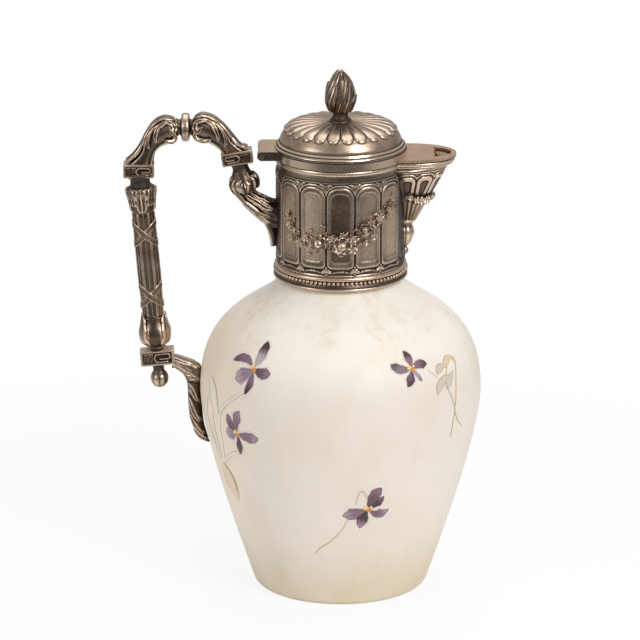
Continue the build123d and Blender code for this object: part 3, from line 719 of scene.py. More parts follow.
def set_on_points(name, small_piece, places, turns, sizes):
    """Copies of a small silver piece, one at each place on the jug, made one mesh."""
    mesh = bpy.data.meshes.new(name + "_places")
    mesh.from_pydata((np.asarray(places) * MM).tolist(), [], [])
    store(mesh, "turn", turns, "FLOAT_VECTOR", "vector")
    store(mesh, "size", sizes)
    carrier = stood(name + "_carrier", mesh)
    work = carrier.modifiers.new("set_pieces", "NODES")
    work.node_group = set_pieces
    values = {"Piece": small_piece, "Size": 1.0, "Finish": old_silver}
    for socket in set_pieces.interface.items_tree:
        if socket.name in values:
            work[socket.identifier] = values[socket.name]
    bpy.context.view_layer.update()
    made = bpy.data.meshes.new_from_object(carrier.evaluated_get(bpy.context.evaluated_depsgraph_get()))
    made.name = name
    carrier.modifiers.clear()
    bpy.data.objects.remove(carrier)
    bpy.data.objects.remove(small_piece)
    made.shade_smooth()
    piece = stood(name, made)
    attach(piece, "root")
    return piece


bead_turns = around(bead_count)
bead_places = [(bead_circle * math.cos(turn), bead_circle * math.sin(turn), bead_level)
               for turn in bead_turns]
mark_tarnish_and_shade(set_on_points("collar_beads", small_dome("bead", bead_radius), bead_places,
                           [(0.0, 0.0, turn) for turn in bead_turns], np.ones(bead_count)), -0.9)


# ======== collar rim
# A flat wire soldered round the sleeve's top edge, which stiffens the mouth. The spout's rim
# is soldered to its outside.
rim_corners = [(29.75, rim_level - 2.0), (30.25, rim_level - 2.0), (30.4, rim_level - 1.8),
               (30.4, rim_level - 0.2), (30.2, rim_level), (29.75, rim_level)]
turned_ring("collar_rim_wire", rim_corners, "collar_rim", 0.0)


# ======== garland
# Cast roses, small flowers and leaves soldered on as a swag across the front panels and
# another across the back. They hang low in the middle and thin out as they climb.
def strip_points(spine, facing, half_width, height, count, under=0.35):
    """Sections of a leaf or ribbon along its spine: a rounded top and a flat underside."""
    spine = np.asarray(spine, dtype=float)
    along = np.gradient(spine, axis=0)
    along /= np.linalg.norm(along, axis=1, keepdims=True) + 1e-9
    facing = np.asarray(facing, dtype=float)
    facing = facing - np.sum(facing * along, axis=1, keepdims=True) * along
    facing /= np.linalg.norm(facing, axis=1, keepdims=True) + 1e-9
    sideways = np.cross(along, facing)
    turn = np.linspace(0.0, math.pi, count)
    across = np.cos(turn)
    top = np.sin(turn)
    ring_across = np.concatenate([across, across[-2:0:-1]])
    ring_lift = np.concatenate([top, np.full(count - 2, -under)])
    width = np.asarray(half_width)[:, None, None]
    tall = np.asarray(height)[:, None, None]
    points = spine[:, None, :] + sideways[:, None, :] * ring_across[None, :, None] * width
    return points + facing[:, None, :] * ring_lift[None, :, None] * tall, ring_across


def merged(parts):
    """Points and faces of several closed shells, each given as points and faces, as one lot."""
    points, faces, first = [], [], 0
    for part_points, part_faces in parts:
        points.append(np.asarray(part_points).reshape(-1, 3))
        faces += [[corner + first for corner in face] for face in part_faces]
        first += len(points[-1])
    return np.concatenate(points), faces


def cast_piece(name, parts, nodes, dark, passes=6, depth=0.2, body="root"):
    """A silver casting of several closed shells."""
    return silver_piece(name, *merged(parts), nodes, dark, passes, depth, body, merge=0.004)


def crest(across, middle, half):
    """Ridges on both sides of a leaf, 1 at their middle and 0 from half away."""
    return np.clip(1.0 - np.abs(np.abs(across) - middle) / half, 0.0, 1.0)


def leaf_width(share, start, run, end, power):
    """How wide a leaf is along its length, as a share of its widest."""
    return np.sin(math.pi * np.clip(start + run * share, 0.0, end)) ** power


def tube_faces(rows, columns):
    """Faces of a closed tube, with a flat face on each end."""
    faces = grid_faces(rows, columns, False, True)
    faces.append(list(range(columns))[::-1])
    faces.append([(rows - 1) * columns + column for column in range(columns)])
    return faces


def garden_leaf():
    """A small pointed leaf with a crease down its middle, lying on the ground at the origin."""
    share = np.linspace(0.0, 1.0, 7)
    width = 0.42 * np.sin(math.pi * np.clip(share, 0.03, 0.97)) ** 0.8
    spine = np.stack([share * 2.0 - 0.6, 0.0 * share, 0.25 + 0.35 * np.sin(share * 2.4)], axis=1)
    facing = np.tile([0.0, 0.0, 1.0], (7, 1))
    points, across = strip_points(spine, facing, width, 0.32 * np.ones(7), 6)
    points[:, :, 2] -= 0.16 * (1.0 - np.abs(across))[None, :] ** 2
    return mesh_piece("leaf", points.reshape(-1, 3), tube_faces(7, points.shape[1]), None)


def petal_cup(petals, radius, lift, open_angle, start, half_width):
    """Petals of a flower as overlapping round shells about the upright axis."""
    parts = []
    for petal in range(petals):
        turn = start + petal * 2 * math.pi / petals
        share = np.linspace(0.0, 1.0, 6)
        lean = open_angle * share
        run = radius * share * np.cos(lean * 0.5)
        climb = lift + radius * 0.55 * np.sin(share * math.pi * 0.62) * math.cos(open_angle)
        spine = np.stack([run * math.cos(turn), run * math.sin(turn), climb], axis=1)
        facing = np.tile([-0.3 * math.cos(turn), -0.3 * math.sin(turn), 1.0], (6, 1))
        width = half_width * leaf_width(share, 0.12, 0.82, 0.97, 0.7)
        points, across = strip_points(spine, facing, width, 0.22 * np.ones(6), 5)
        points[:, :, 2] += 0.35 * radius * (across ** 2)[None, :] * share[:, None] * 0.5
        parts.append((points, tube_faces(6, points.shape[1])))
    return parts


def ball_part(centre, radius, squash, sides, rings):
    """A round part, flattened by the squash."""
    turn = np.linspace(-math.pi / 2, math.pi / 2, rings + 1)
    radii = np.maximum(radius * np.cos(turn), 0.002)
    points = turned_points((radii[:, None], radius * squash * np.sin(turn)[:, None]), around(sides))
    return points + np.asarray(centre), tube_faces(rings + 1, sides)


def rose():
    """An open rose's rings of cupped petals, which hold its smooth round heart."""
    petals = petal_cup(6, 2.75, 0.05, 0.2, 0.2, 1.35) + petal_cup(5, 2.1, 0.35, 0.45, 0.7, 1.25)
    return mesh_piece("rose", *merged(petals), None)


def rose_heart():
    """A rose's round bud of closed petals, with a fold across it."""
    parts = [ball_part((0.0, 0.0, 1.2), 1.42, 0.9, 20, 12)]
    fold = np.linspace(-1.0, 1.0, 9)
    climb = 1.25 + 1.2 * np.sqrt(1.0 - 0.8 * fold ** 2)
    spine = np.stack([0.9 * np.cos(fold * 1.3) - 0.35, 1.2 * fold, climb], axis=1)
    points, _ = strip_points(spine, np.tile([0.1, 0.0, 1.0], (9, 1)), np.full(9, 0.2), np.full(9, 0.22), 5)
    parts.append((points, tube_faces(9, points.shape[1])))
    return mesh_piece("rose_heart", *merged(parts), None)


def field_flower():
    """A small five petalled flower with a round eye."""
    parts = petal_cup(5, 1.35, 0.35, 0.2, 0.0, 0.5) + [ball_part((0.0, 0.0, 0.85), 0.42, 0.8, 8, 5)]
    return mesh_piece("flower", *merged(parts), None)


def on_collar(azimuth, level, lift=0.0):
    """Place on the sleeve by degrees from the front towards the spout, and its outward turn."""
    turn = math.radians(azimuth) - math.pi / 2
    radius = collar_radius + 0.25 + lift
    return (radius * math.cos(turn), radius * math.sin(turn), level), turn


def outward_turn(turn, spin, tip=0.0):
    """Euler turn that lays a piece's upright axis outwards from the collar and spins it."""
    outward = Vector((math.cos(turn), math.sin(turn), math.sin(tip))).normalized()
    return (outward.to_track_quat("Z", "Y").to_matrix() @ Matrix.Rotation(spin, 3, "Z")).to_euler()


class Swag:
    """Where the copies of one small casting go, and how each is turned and sized."""

    def __init__(self):
        self.places, self.turns, self.sizes = [], [], []

    def add(self, place, turn, size):
        """One more copy."""
        self.places.append(place)
        self.turns.append(turn)
        self.sizes.append(size)

    def solder(self, name, small_piece, depth, dark):
        """Sets the copies as one piece."""
        piece = set_on_points(name, small_piece, self.places, self.turns, self.sizes)
        mark_tarnish_and_shade(mark_hollows(piece, 5, depth), dark)


# The swag's line, roses and flowers by degrees from its middle, level and size.
swag_path = ((-54, 186.5), (-49, 181.5), (-43, 177.0), (-34, 174.5), (-26, 175.0), (-17, 174.0), (-8, 175.0),
             (2, 174.0), (11, 176.0), (20, 179.5), (29, 182.6), (38, 185.3), (46, 188.5), (53, 192.5))
swag_roses = ((-18.5, 174.3, 1.55), (1.2, 173.4, 1.7), (21.0, 180.8, 1.2))
swag_flowers = ((-49, 181, 0.8), (-47, 175, 0.9), (-37, 174, 0.95), (-31, 176.5, 0.85), (-9, 176.5, 0.8),
                (11, 177, 0.95), (29, 177.2, 0.9), (27, 183.2, 0.75), (36, 185.4, 0.8), (45, 188.6, 0.62),
                (-27, 171.8, 0.75), (11, 171.2, 0.75), (-52, 186, 0.6), (1.5, 178.6, 0.62))
swag_leaf_count = 190
flower_growth = 1.75
full_turn = 2.0 * math.pi
draw = np.random.default_rng(17)
leaves, roses, flowers = Swag(), Swag(), Swag()
for swag_middle in (0.0, 180.0):
    swag = np.array(swag_path, dtype=float)
    reach = np.linspace(0, len(swag) - 1, swag_leaf_count)
    for azimuth, level in zip(*(np.interp(reach, np.arange(len(swag)), line) for line in swag.T)):
        full = math.cos(math.radians(azimuth * 1.25))
        spread = 1.4 + 3.4 * full
        shift = draw.normal(0.0, 0.55, 2)
        place, turn = on_collar(swag_middle + azimuth + shift[0] * spread / 0.7, level + shift[1] * spread,
                                draw.uniform(0.0, 0.7))
        leaves.add(place, outward_turn(turn, draw.uniform(0, full_turn), draw.normal(0, 0.25)),
                   draw.uniform(1.0, 1.7) * (0.75 + 0.35 * full))
    for azimuth, level, size in swag_roses:
        place, turn = on_collar(swag_middle + azimuth, level, 0.5)
        roses.add(place, outward_turn(turn, draw.uniform(0, full_turn), 0.15), size)
    for azimuth, level, size in swag_flowers:
        place, turn = on_collar(swag_middle + azimuth, level, 0.45)
        flowers.add(place, outward_turn(turn, draw.uniform(0, full_turn), draw.normal(0.1, 0.2)),
                    size * flower_growth)
swag_depth = 0.55
leaves.solder("garland_leaves", garden_leaf(), swag_depth, 0.15)
roses.solder("garland_roses", rose(), swag_depth, 0.9)
roses.solder("garland_hearts", rose_heart(), swag_depth, -0.35)
flowers.solder("garland_flowers", field_flower(), swag_depth, 0.05)


# ======== spout
# A V-shaped channel raised from sheet and soldered over the window. Three reeds run under its
# flat rim, arched fields below them narrow into flutes, and a small garland lies across.
cover_reach = 54.0
cover_half_width = 15.4
cover_straight = 32.0
spout_rim_height = 4.1
spout_head_level = rim_level - spout_rim_height
spout_point_level = 177.0
spout_head = (50.2, 14.2)
spout_point = (34.8, 3.8)
spout_centre = 27.0
spout_skin = 1.3
spout_across = 241
nose_steps = 241
side_run_back = 14.0
side_steps_back = 59
spout_root = 29.3
rim_root = 29.6
spout_fields = 6
field_foot = 150.0
field_top = 199.4
flute_head = 188.4


def run_along(line):
    """How far along a line each of its points lies."""
    return np.concatenate([[0.0], np.cumsum(np.hypot(*np.diff(line, axis=0).T))])


def facing_along(line):
    """Which way the skin on a line's right side faces at each of its points."""
    along = np.gradient(line, axis=0)
    out = np.stack([along[:, 1], -along[:, 0]], axis=1)
    return out / np.linalg.norm(out, axis=1, keepdims=True)


def nose_outline(reach, half_width, straight, radius, count):
    """Outline from the collar round the nose and back, evenly spaced, and its length."""
    turn = np.linspace(-math.pi / 2, math.pi / 2, nose_steps)
    back = np.linspace(straight - side_run_back, straight, side_steps_back, endpoint=False)
    beside = np.full(side_steps_back, half_width)
    x = np.concatenate([back, straight + (reach - straight) * np.cos(turn), back[::-1]])
    y = np.concatenate([-beside, half_width * np.sin(turn), beside])
    places = np.stack([x, y], axis=1)[np.hypot(x, y) >= radius]
    run = run_along(places)
    even = np.linspace(0.0, run[-1], count)
    return np.stack([np.interp(even, run, line) for line in places.T], axis=1), run[-1]


def spout_row(level, inset=0.0, count=spout_across):
    """Outline of the channel at a level below its rim, and its length."""
    share = (level - spout_point_level) / (spout_head_level - spout_point_level)
    reach = spout_point[0] + share * (spout_head[0] - spout_point[0]) - inset
    half = spout_point[1] + share * (spout_head[1] - spout_point[1]) - inset
    return nose_outline(reach, half, spout_centre, spout_root, count)


def rim_row(inset):
    """Outline of the spout's rim, set in from the cover plate's edge."""
    reach, half = cover_reach - inset, cover_half_width - inset
    return nose_outline(reach, half, cover_straight, rim_root, spout_across)[0]


spout_levels = np.linspace(spout_point_level, spout_head_level, 110)
side_share = np.linspace(-1.0, 1.0, spout_across)


def field_place(share, length, border):
    """Place across the nearest of the channel's fields, and half its width inside a border."""
    pitch = length / spout_fields
    return ((share * spout_fields / 2) % 1.0 - 0.5) * pitch, np.maximum(pitch / 2 - border, 0.2)


def spout_relief(share, level, length):
    """Height of the chased work on the channel: arched fields above, flutes below."""
    across, half = field_place(share, length, 0.3)
    head = np.minimum(half * 0.8, 3.0)
    frame_gap = arch_distance(across, level, half, field_foot, field_top + 2.0, 1.0, head)
    inner_half = np.maximum(half - 1.65, 0.2)
    field_gap = arch_distance(across, level, inner_half, field_foot, field_top, 1.0, inner_half * 0.8)
    height = 0.62 * rise(-frame_gap, -0.05, 0.4) - 0.45 * rise(-field_gap, -0.1, 0.35)
    height = np.maximum(height, 0.5 * wire_bead(frame_gap - 0.95, 0.4) * rise(level, 196.5, 198.0))
    flutes = 0.7 * np.abs(np.sin(share * spout_fields * math.pi)) - 0.15
    return np.where(level < flute_head, flutes, height) + 0.3 * wire_bead(level - 203.6, 0.4)


def spray_level(share):
    """Level of the small garland, which hangs from the collar, sags and lifts a little at the nose."""
    swing = np.cos(share * 2.0 * math.pi)
    return flute_head + 0.3 + 3.4 * np.maximum(swing, 0.0) ** 1.4 + 1.0 * np.maximum(-swing, 0.0) ** 1.4


def spout_dark(share, level, length):
    """How dark the channel has gone: dark fields inside frames that are rubbed bright, and painted shade with
    tarnish behind the small garland and where the channel meets the collar.
    """
    across, half = field_place(share, length, 1.95)
    field_gap = arch_distance(across, level, half, field_foot, field_top, 1.0, half * 0.8)
    dark = np.where(level < flute_head, -0.1, -0.5 + 1.6 * rise(-field_gap, -0.4, 0.2))
    # Painted shade with tarnish: a dark band behind the small garland, and the channel's ends darkened
    # against the collar.
    swag = wire_bead(level - spray_level((share + 1.0) / 2.0), 2.6)
    return dark + 7.0 * swag + 5.0 * rise(np.abs(share), 0.86, 0.95)


def at_level(outline, level):
    """The points of an outline at their level."""
    return np.concatenate([outline, np.full((len(outline), 1), level)], axis=1)


spout_outer = []
spout_tones = []
for level in spout_levels:
    outline, length = spout_row(level)
    lift = spout_relief(side_share, level, length) - 0.35
    spout_outer.append(at_level(outline + facing_along(outline) * lift[:, None], level))
    spout_tones.append(spout_dark(side_share, level, length))
# The rim's three reeds and its flat top, each row by its climb above the head and its inset.
reed_levels = ((0.0, 3.2), (0.15, 2.7), (0.5, 2.45), (0.9, 2.6), (1.05, 3.0), (1.15, 2.3), (1.35, 1.65),
               (1.8, 1.45), (2.2, 1.65), (2.35, 2.1), (2.45, 1.2), (2.6, 0.75), (3.2, 0.6), (3.8, 0.62),
               (3.95, 0.8), (4.1, 1.1))
reed_start = 1.3
head_row, _ = spout_row(spout_head_level)
for climb, inset in reed_levels:
    settle = rise(np.array(climb), 0.0, reed_start)
    row = rim_row(inset) * settle + head_row * (1.0 - settle)
    spout_outer.append(at_level(row, spout_head_level + climb))
mouth_inset = 3.0 + spout_skin
spout_inner = [at_level(rim_row(mouth_inset), level) for level in (rim_level, spout_head_level + 0.1)]
for level in (*np.linspace(spout_head_level, spout_point_level + 2.0, 12), spout_point_level):
    spout_inner.append(at_level(spout_row(level, spout_skin)[0], level))
spout_rows = np.stack(spout_outer + spout_inner)
spout_faces = grid_faces(len(spout_rows), spout_across, True, False)
for column in (0, spout_across - 1):
    spout_faces.append([row * spout_across + column for row in range(len(spout_rows))])
spout_plain = np.zeros((len(spout_rows) - len(spout_tones)) * spout_across)
silver_piece("spout_channel", spout_rows, spout_faces, ["spout_body"],
             np.concatenate([*spout_tones, spout_plain]), 14, 0.18)


def on_spout(share, level, lift):
    """Place on the channel by its share round the nose, and its outward turn."""
    outline, _ = spout_row(level, -lift, spray_steps + 1)
    step = int(round(share * spray_steps))
    ahead = outline[min(step + 1, spray_steps)] - outline[max(step - 1, 0)]
    return outline[step], math.atan2(-ahead[0], ahead[1])


spray_steps = 120
spray_count = 66
bloom_growth = 1.45
spray_draw = np.random.default_rng(8)
sprigs, blooms = Swag(), Swag()
for share in np.linspace(0.06, 0.94, spray_count):
    sag = float(spray_level(share)) + 0.2
    place, turn = on_spout(share, sag, 0.35)
    sprigs.add((*place, sag + spray_draw.normal(0, 0.7)),
               outward_turn(turn, spray_draw.uniform(0, full_turn), -0.15), spray_draw.uniform(0.75, 1.1))
for share, size in ((0.12, 0.8), (0.2, 1.0), (0.27, 1.15), (0.34, 0.95), (0.42, 0.75), (0.5, 0.8),
                    (0.58, 0.75), (0.66, 0.95), (0.73, 1.15), (0.8, 1.0), (0.88, 0.8)):
    sag = float(spray_level(share))
    place, turn = on_spout(share, sag, 0.85)
    blooms.add((*place, sag), outward_turn(turn, 7.0 * share), size * bloom_growth)
sprigs.solder("spout_leaves", garden_leaf(), 0.5, 0.1)
blooms.solder("spout_blooms", field_flower(), 0.5, -0.6)


# ======== spout drop
# A bud of leaves and a ball, cast in one, hang under the spout's point against the collar.
drop_x = 30.3
drop_section = ((0.05, 160.9), (1.0, 161.05), (1.62, 162.0), (1.72, 162.8), (1.4, 163.8), (0.9, 164.6),
                (1.6, 165.4), (2.9, 167.6), (3.9, 170.0), (4.25, 171.8), (3.9, 173.6), (3.25, 174.9),
                (3.4, 176.0), (4.1, 177.4), (4.0, 178.2), (2.0, 178.6), (0.05, 178.6))
drop_seat = 29.4
drop_rows = 60
drop_columns = 72


def smooth_section(corners, count):
    """Evenly spaced points on a smooth line through the corners."""
    corners = np.array(corners, dtype=float)
    chain = np.concatenate([2 * corners[:1] - corners[1:2], corners, 2 * corners[-1:] - corners[-2:-1]])
    spans = len(chain) - 3
    place = np.linspace(0.0, spans, count)
    span = np.minimum(place.astype(int), spans - 1)
    t = (place - span)[:, None]
    a, b, c, d = (chain[span + step] for step in range(4))
    return 0.5 * (2 * b + (c - a) * t + (2 * a - 5 * b + 4 * c - d) * t ** 2
                  + (3 * b - a - 3 * c + d) * t ** 3)


def keep_off_axis(points, radius):
    """Moves what would lie inside the collar out to the given radius."""
    reach = np.hypot(points[..., 0], points[..., 1])
    push = np.where(reach < radius, radius / np.maximum(reach, 1e-6), 1.0)
    return points * np.stack([push, push, np.ones(push.shape)], axis=-1)


drop_line = smooth_section(drop_section, drop_rows)
drop_turn = around(drop_columns)
drop_lobes = 0.34 * np.abs(np.sin(drop_turn * 4.0))[None, :] * rise(drop_line[:, 1:], 165.0, 168.0)
drop_lobes = drop_lobes * (1.0 - rise(drop_line[:, 1:], 175.0, 176.5))
drop_radius = np.maximum(drop_line[:, :1] - 0.15 + drop_lobes, 0.02)
drop_points = turned_points((drop_radius, drop_line[:, 1:]), drop_turn) + np.array((drop_x, 0.0, 0.0))
silver_piece("spout_drop_bud", keep_off_axis(drop_points, drop_seat), tube_faces(drop_rows, drop_columns),
             ["spout_drop"], 0.0, 8, 0.18)


# ======== hinge on the collar
# A tongue of thick sheet soldered on the rim's back carries the knuckle and the steel pin.
rod = Finish("rod_metal")
rod_speck = rod.mottle(0.0012)
rod_metal = rod.coat({
    "Base Color": rod.blend(rod_speck, (0.13, 0.105, 0.085), (0.26, 0.22, 0.18)),
    "Metallic": 1.0,
    "Roughness": 0.28 + 0.2 * rod_speck,
})

for node, finish in (("hinge_tongue", old_silver), ("hinge_pin", rod_metal), ("tie_rod", rod_metal)):
    dress_node(node, finish)


# ======== key blocks
# Three cast blocks carry the handle's parts. Each face has a raised border round a sunken
# field with upright hatching and a bent wire like a clip on it.
def along_frame(centre, tilt):
    """Place and the three axes of a piece that tilts up towards the jug."""
    turn = math.radians(tilt)
    along = np.array([math.cos(turn), 0.0, math.sin(turn)])
    return np.array(centre), along, np.array([-math.sin(turn), 0.0, math.cos(turn)])


def block_shell(length, depth, height, border, sink):
    """Shell of a block with eased edges whose front and back faces are sunken fields."""
    shape = bmesh.new()
    bmesh.ops.create_cube(shape, size=1.0)
    bmesh.ops.scale(shape, vec=(length, depth, height), verts=shape.verts)
    for face in [face for face in shape.faces if abs(face.normal.y) > 0.9]:
        bmesh.ops.inset_region(shape, faces=[face], thickness=border, use_even_offset=True)
        bmesh.ops.inset_region(shape, faces=[face], thickness=0.25, depth=-sink, use_even_offset=True)
    outer = [edge for edge in shape.edges if edge.calc_length() > depth * 0.99
             or all(abs(abs(vert.co.y) - depth / 2) < 1e-6 for vert in edge.verts)]
    bmesh.ops.bevel(shape, geom=outer, offset=0.4, segments=3, affect="EDGES", profile=0.6)
    bmesh.ops.triangulate(shape, faces=[face for face in shape.faces if len(face.verts) > 4])
    points = np.array([vert.co[:] for vert in shape.verts])
    faces = [[vert.index for vert in face.verts] for face in shape.faces]
    shape.free()
    return points, faces


def bent_wire(corners, half_width, height, count, facing):
    """Wire with a half round top that follows flat corners smoothly."""
    spine = smooth_section(corners, count)
    up = np.tile(np.array(facing, dtype=float), (count, 1))
    points, _ = strip_points(spine, up, np.full(count, half_width), np.full(count, height), 7)
    return points, tube_faces(count, points.shape[1])


block_bars = 7
bar_pitch = 0.62


def key_block(name, centre, tilt, length, depth, height, node, hand=1.0):
    """A key block with border, hatching and a bent wire on both faces; hand -1 turns them round."""
    place, along, up = along_frame(centre, tilt)
    border = 0.15 * height
    parts = [block_shell(length, depth, height, border, 0.75)]
    half_x, half_z = length / 2 - border - 0.35, height / 2 - border - 0.3
    left, right = -0.15 * half_x, half_x - 0.55
    low, high = -half_z + 0.42, half_z - 0.42
    for face in (-1.0, 1.0):
        level = face * (depth / 2 - 0.62)
        for bar in range(block_bars):
            x = -half_x + 0.5 + bar * bar_pitch
            ends = [(x, level, z) for z in (-half_z, 0.0, half_z)]
            parts.append(bent_wire(ends, 0.2, 0.34, 5, (0.0, face, 0.0)))
        ring = [(x, level, z) for x, z in (
            (right - 0.7, low), (left + 1.0, low), (left + 0.1, 0.55 * low), (left - 0.25, 0.0),
            (left + 0.1, 0.55 * high), (left + 1.0, high), (right - 0.7, high), (right, 0.5 * high),
            (right - 0.1, -0.1 * high), (right - 1.4, -0.25 * high), (left + 2.2, -0.25 * high))]
        parts.append(bent_wire(ring, 0.44, 1.0, 60, (0.0, face, 0.0)))
    placed = []
    for points, faces in parts:
        x, y, z = np.hsplit(points.reshape(-1, 3), 3)
        placed.append((place + hand * x * along + y * np.array([0.0, 1.0, 0.0]) + z * up, faces))
    low, high = depth / 2 - 0.5, depth / 2 - 0.05
    cast_piece(name, placed, [node], lambda point: 0.5 - 1.4 * rise(np.abs(point[:, 1]), low, high),
               passes=3, depth=0.95)


grip_tilt = 4.83
inner_block = (-48.2, 0.0, 208.1)
outer_block = (-94.15, 0.0, 202.9)
lower_block = (-86.35, 0.0, 110.6)
outer_block_face = (-94.15, 0.0, 201.9)
key_block("outer_block_carved", outer_block_face, 0.0, 14.2, 9.0, 6.4, "outer_key_block")
key_block("inner_block_carved", inner_block, 9.0, 14.4, 9.0, 6.2, "inner_key_block", -1.0)
key_block("lower_block_carved", lower_block, grip_tilt, 15.9, 8.0, 7.3, "lower_key_block")


# ======== arch
# Two scroll castings meet at a spool with a bright ring. Each has a smooth back, sunken
# sides and curled leaves soldered along it.
limb_steps = 120


class Limb:
    """A cast limb in the handle's plane, given by its outer and inner line and its depth."""

    def __init__(self, stations, fullness=0.9):
        self.lines = smooth_section(stations, limb_steps + 1).T
        self.fullness = fullness

    def surface(self, share, turn, lift=0.0):
        """Point on the limb: share of its length, and turn in degrees from its outer line."""
        place = np.clip(np.asarray(share, dtype=float), 0.0, 1.0) * limb_steps
        out_x, out_z, in_x, in_z, depth = (np.interp(place, np.arange(limb_steps + 1), line)
                                           for line in self.lines)
        half_x, half_z = (out_x - in_x) / 2, (out_z - in_z) / 2
        size = np.hypot(half_x, half_z) + 1e-9
        high, side = (np.sign(wave(np.radians(turn))) * np.abs(wave(np.radians(turn))) ** self.fullness
                      for wave in (np.cos, np.sin))
        reach = high * (size + lift) / size
        return np.stack([(out_x + in_x) / 2 + half_x * reach, -side * (depth + lift),
                         (out_z + in_z) / 2 + half_z * reach], axis=-1)

    def shell(self, rows, columns, relief):
        """Closed shell of the limb, carved by its relief."""
        share, turn = np.broadcast_arrays(np.linspace(0.0, 1.0, rows)[:, None],
                                          np.linspace(0.0, 360.0, columns, endpoint=False)[None, :])
        return self.surface(share, turn, relief(share, turn)), tube_faces(rows, columns)

    def leaf(self, path, half_width, height, lobes=0, count=28, curl=0.0):
        """A leaf lying on the limb along a path of share and turn, with lobed edges."""
        line = smooth_section(path, count)
        spine = self.surface(line[:, 0], line[:, 1], 0.0)
        facing = self.surface(line[:, 0], line[:, 1], 1.0) - spine
        along = np.linspace(0.0, 1.0, count)
        spine = spine + facing * (curl * along ** 3)[:, None]
        width = half_width * leaf_width(along, 0.08, 0.9, 0.985, 0.6)
        if lobes:
            width = width * (0.8 + 0.2 * np.abs(np.sin(along * math.pi * lobes)))
        tall = height * (0.55 + 0.45 * np.sin(math.pi * along))
        points, across = strip_points(spine, facing, width, tall, 9)
        crease = height * (0.42 * crest(across, 0.0, 0.35) - 0.22 * crest(across, 0.55, 0.3))
        return points - facing[:, None, :] * crease[None, :, None], tube_faces(count, points.shape[1])

    def leaves(self, rows, face):
        """Leaves on one face, each given by its shares, its turns, half width, height and lobes."""
        return [self.leaf([(share, turn * face) for share, turn in zip(shares, turns)], *sizes)
                for shares, turns, *sizes in rows]


def from_back(turn):
    """Degrees from the limb's outer line, the same on both sides."""
    return np.minimum(turn % 360.0, 360.0 - turn % 360.0)


# Stations along each limb: its outer line's X and level, its inner line's, and its half depth.
outer_limb = Limb((
    (-99.4, 204.6, -87.0, 204.4, 3.6), (-97.4, 206.3, -87.0, 206.2, 3.7), (-94.6, 208.8, -86.8, 208.4, 3.8),
    (-92.8, 211.9, -86.0, 210.8, 4.0), (-92.0, 216.5, -84.2, 212.6, 4.5), (-90.0, 221.0, -82.4, 213.6, 5.2),
    (-86.4, 225.3, -80.2, 214.5, 5.9), (-81.5, 227.4, -78.2, 215.6, 6.2), (-78.8, 227.2, -77.3, 216.6, 5.7),
    (-77.0, 225.9, -76.7, 218.2, 4.5), (-76.7, 224.8, -76.6, 219.4, 3.0)))
inner_limb = Limb((
    (-67.9, 224.9, -67.9, 219.6, 3.0), (-67.8, 226.8, -68.0, 218.2, 4.6), (-66.4, 228.4, -66.7, 217.2, 5.9),
    (-62.8, 228.7, -64.0, 215.9, 6.3), (-58.8, 227.4, -60.6, 214.5, 6.0), (-55.2, 224.4, -58.2, 213.0, 5.4),
    (-52.0, 219.6, -56.8, 211.8, 4.6), (-49.9, 216.2, -56.0, 210.8, 4.1), (-47.6, 214.0, -55.4, 209.8, 3.9),
    (-45.6, 212.4, -55.1, 208.9, 3.7), (-43.8, 211.2, -55.0, 208.2, 3.6)))


def flat_leaf(line, half_widths, heights, count=44, lobes=0):
    """A leaf standing clear in the handle's plane, along a line of X and level."""
    spine = smooth_section(line, count)
    along = np.gradient(spine, axis=0)
    facing = np.stack([-along[:, 1], np.zeros(count), along[:, 0]], axis=1)
    facing /= np.linalg.norm(facing, axis=1, keepdims=True)
    share = np.linspace(0.0, 1.0, count)
    width = np.interp(share, np.linspace(0, 1, len(half_widths)), half_widths)
    if lobes:
        width = width * (0.86 + 0.14 * np.abs(np.sin(share * math.pi * lobes)))
    tall = np.interp(share, np.linspace(0, 1, len(heights)), heights)
    spine = np.stack([spine[:, 0], np.zeros(count), spine[:, 1]], axis=1)
    points, across = strip_points(spine, facing, width, tall, 13, 0.5)
    crease = 0.5 * wire_bead(np.abs(across) - 0.42, 0.16) - 0.35 * wire_bead(across, 0.12)
    points = points - facing[:, None, :] * (crease[None, :] * tall[:, None] * 0.6)[:, :, None]
    return points, tube_faces(count, points.shape[1])


def arch_relief(_, turn):
    """Sunken sides between raised edges, the same all along the limb."""
    side = from_back(turn)
    sunk = rise(side, 48.0, 60.0) * (1.0 - rise(side, 128.0, 140.0))
    return 0.35 * wire_bead(side - 46.0, 6.0) + 0.3 * wire_bead(side - 140.0, 6.0) - 0.8 * sunk


# The curled leaves at a limb's fat end: shares from that end, turns, half width, height, lobes.
scroll_rows = (
    ((0.03, 0.10, 0.20, 0.28), (48, 74, 96, 78), 1.7, 1.5, 3),
    ((0.05, 0.10, 0.20, 0.34), (110, 82, 58, 46), 1.5, 1.4, 3),
    ((0.03, 0.10, 0.17, 0.12), (150, 124, 98, 84), 1.5, 1.5, 2),
    ((0.08, 0.20, 0.32, 0.40), (140, 150, 138, 116), 1.6, 1.4, 3),
    ((0.26, 0.38, 0.47, 0.52), (40, 58, 82, 104), 1.3, 1.2, 3),
    ((0.42, 0.54, 0.62, 0.66), (44, 56, 76, 96), 1.0, 1.0, 2),
)
outer_rows = [(1.0 - np.array(shares), *sizes) for shares, *sizes in scroll_rows]
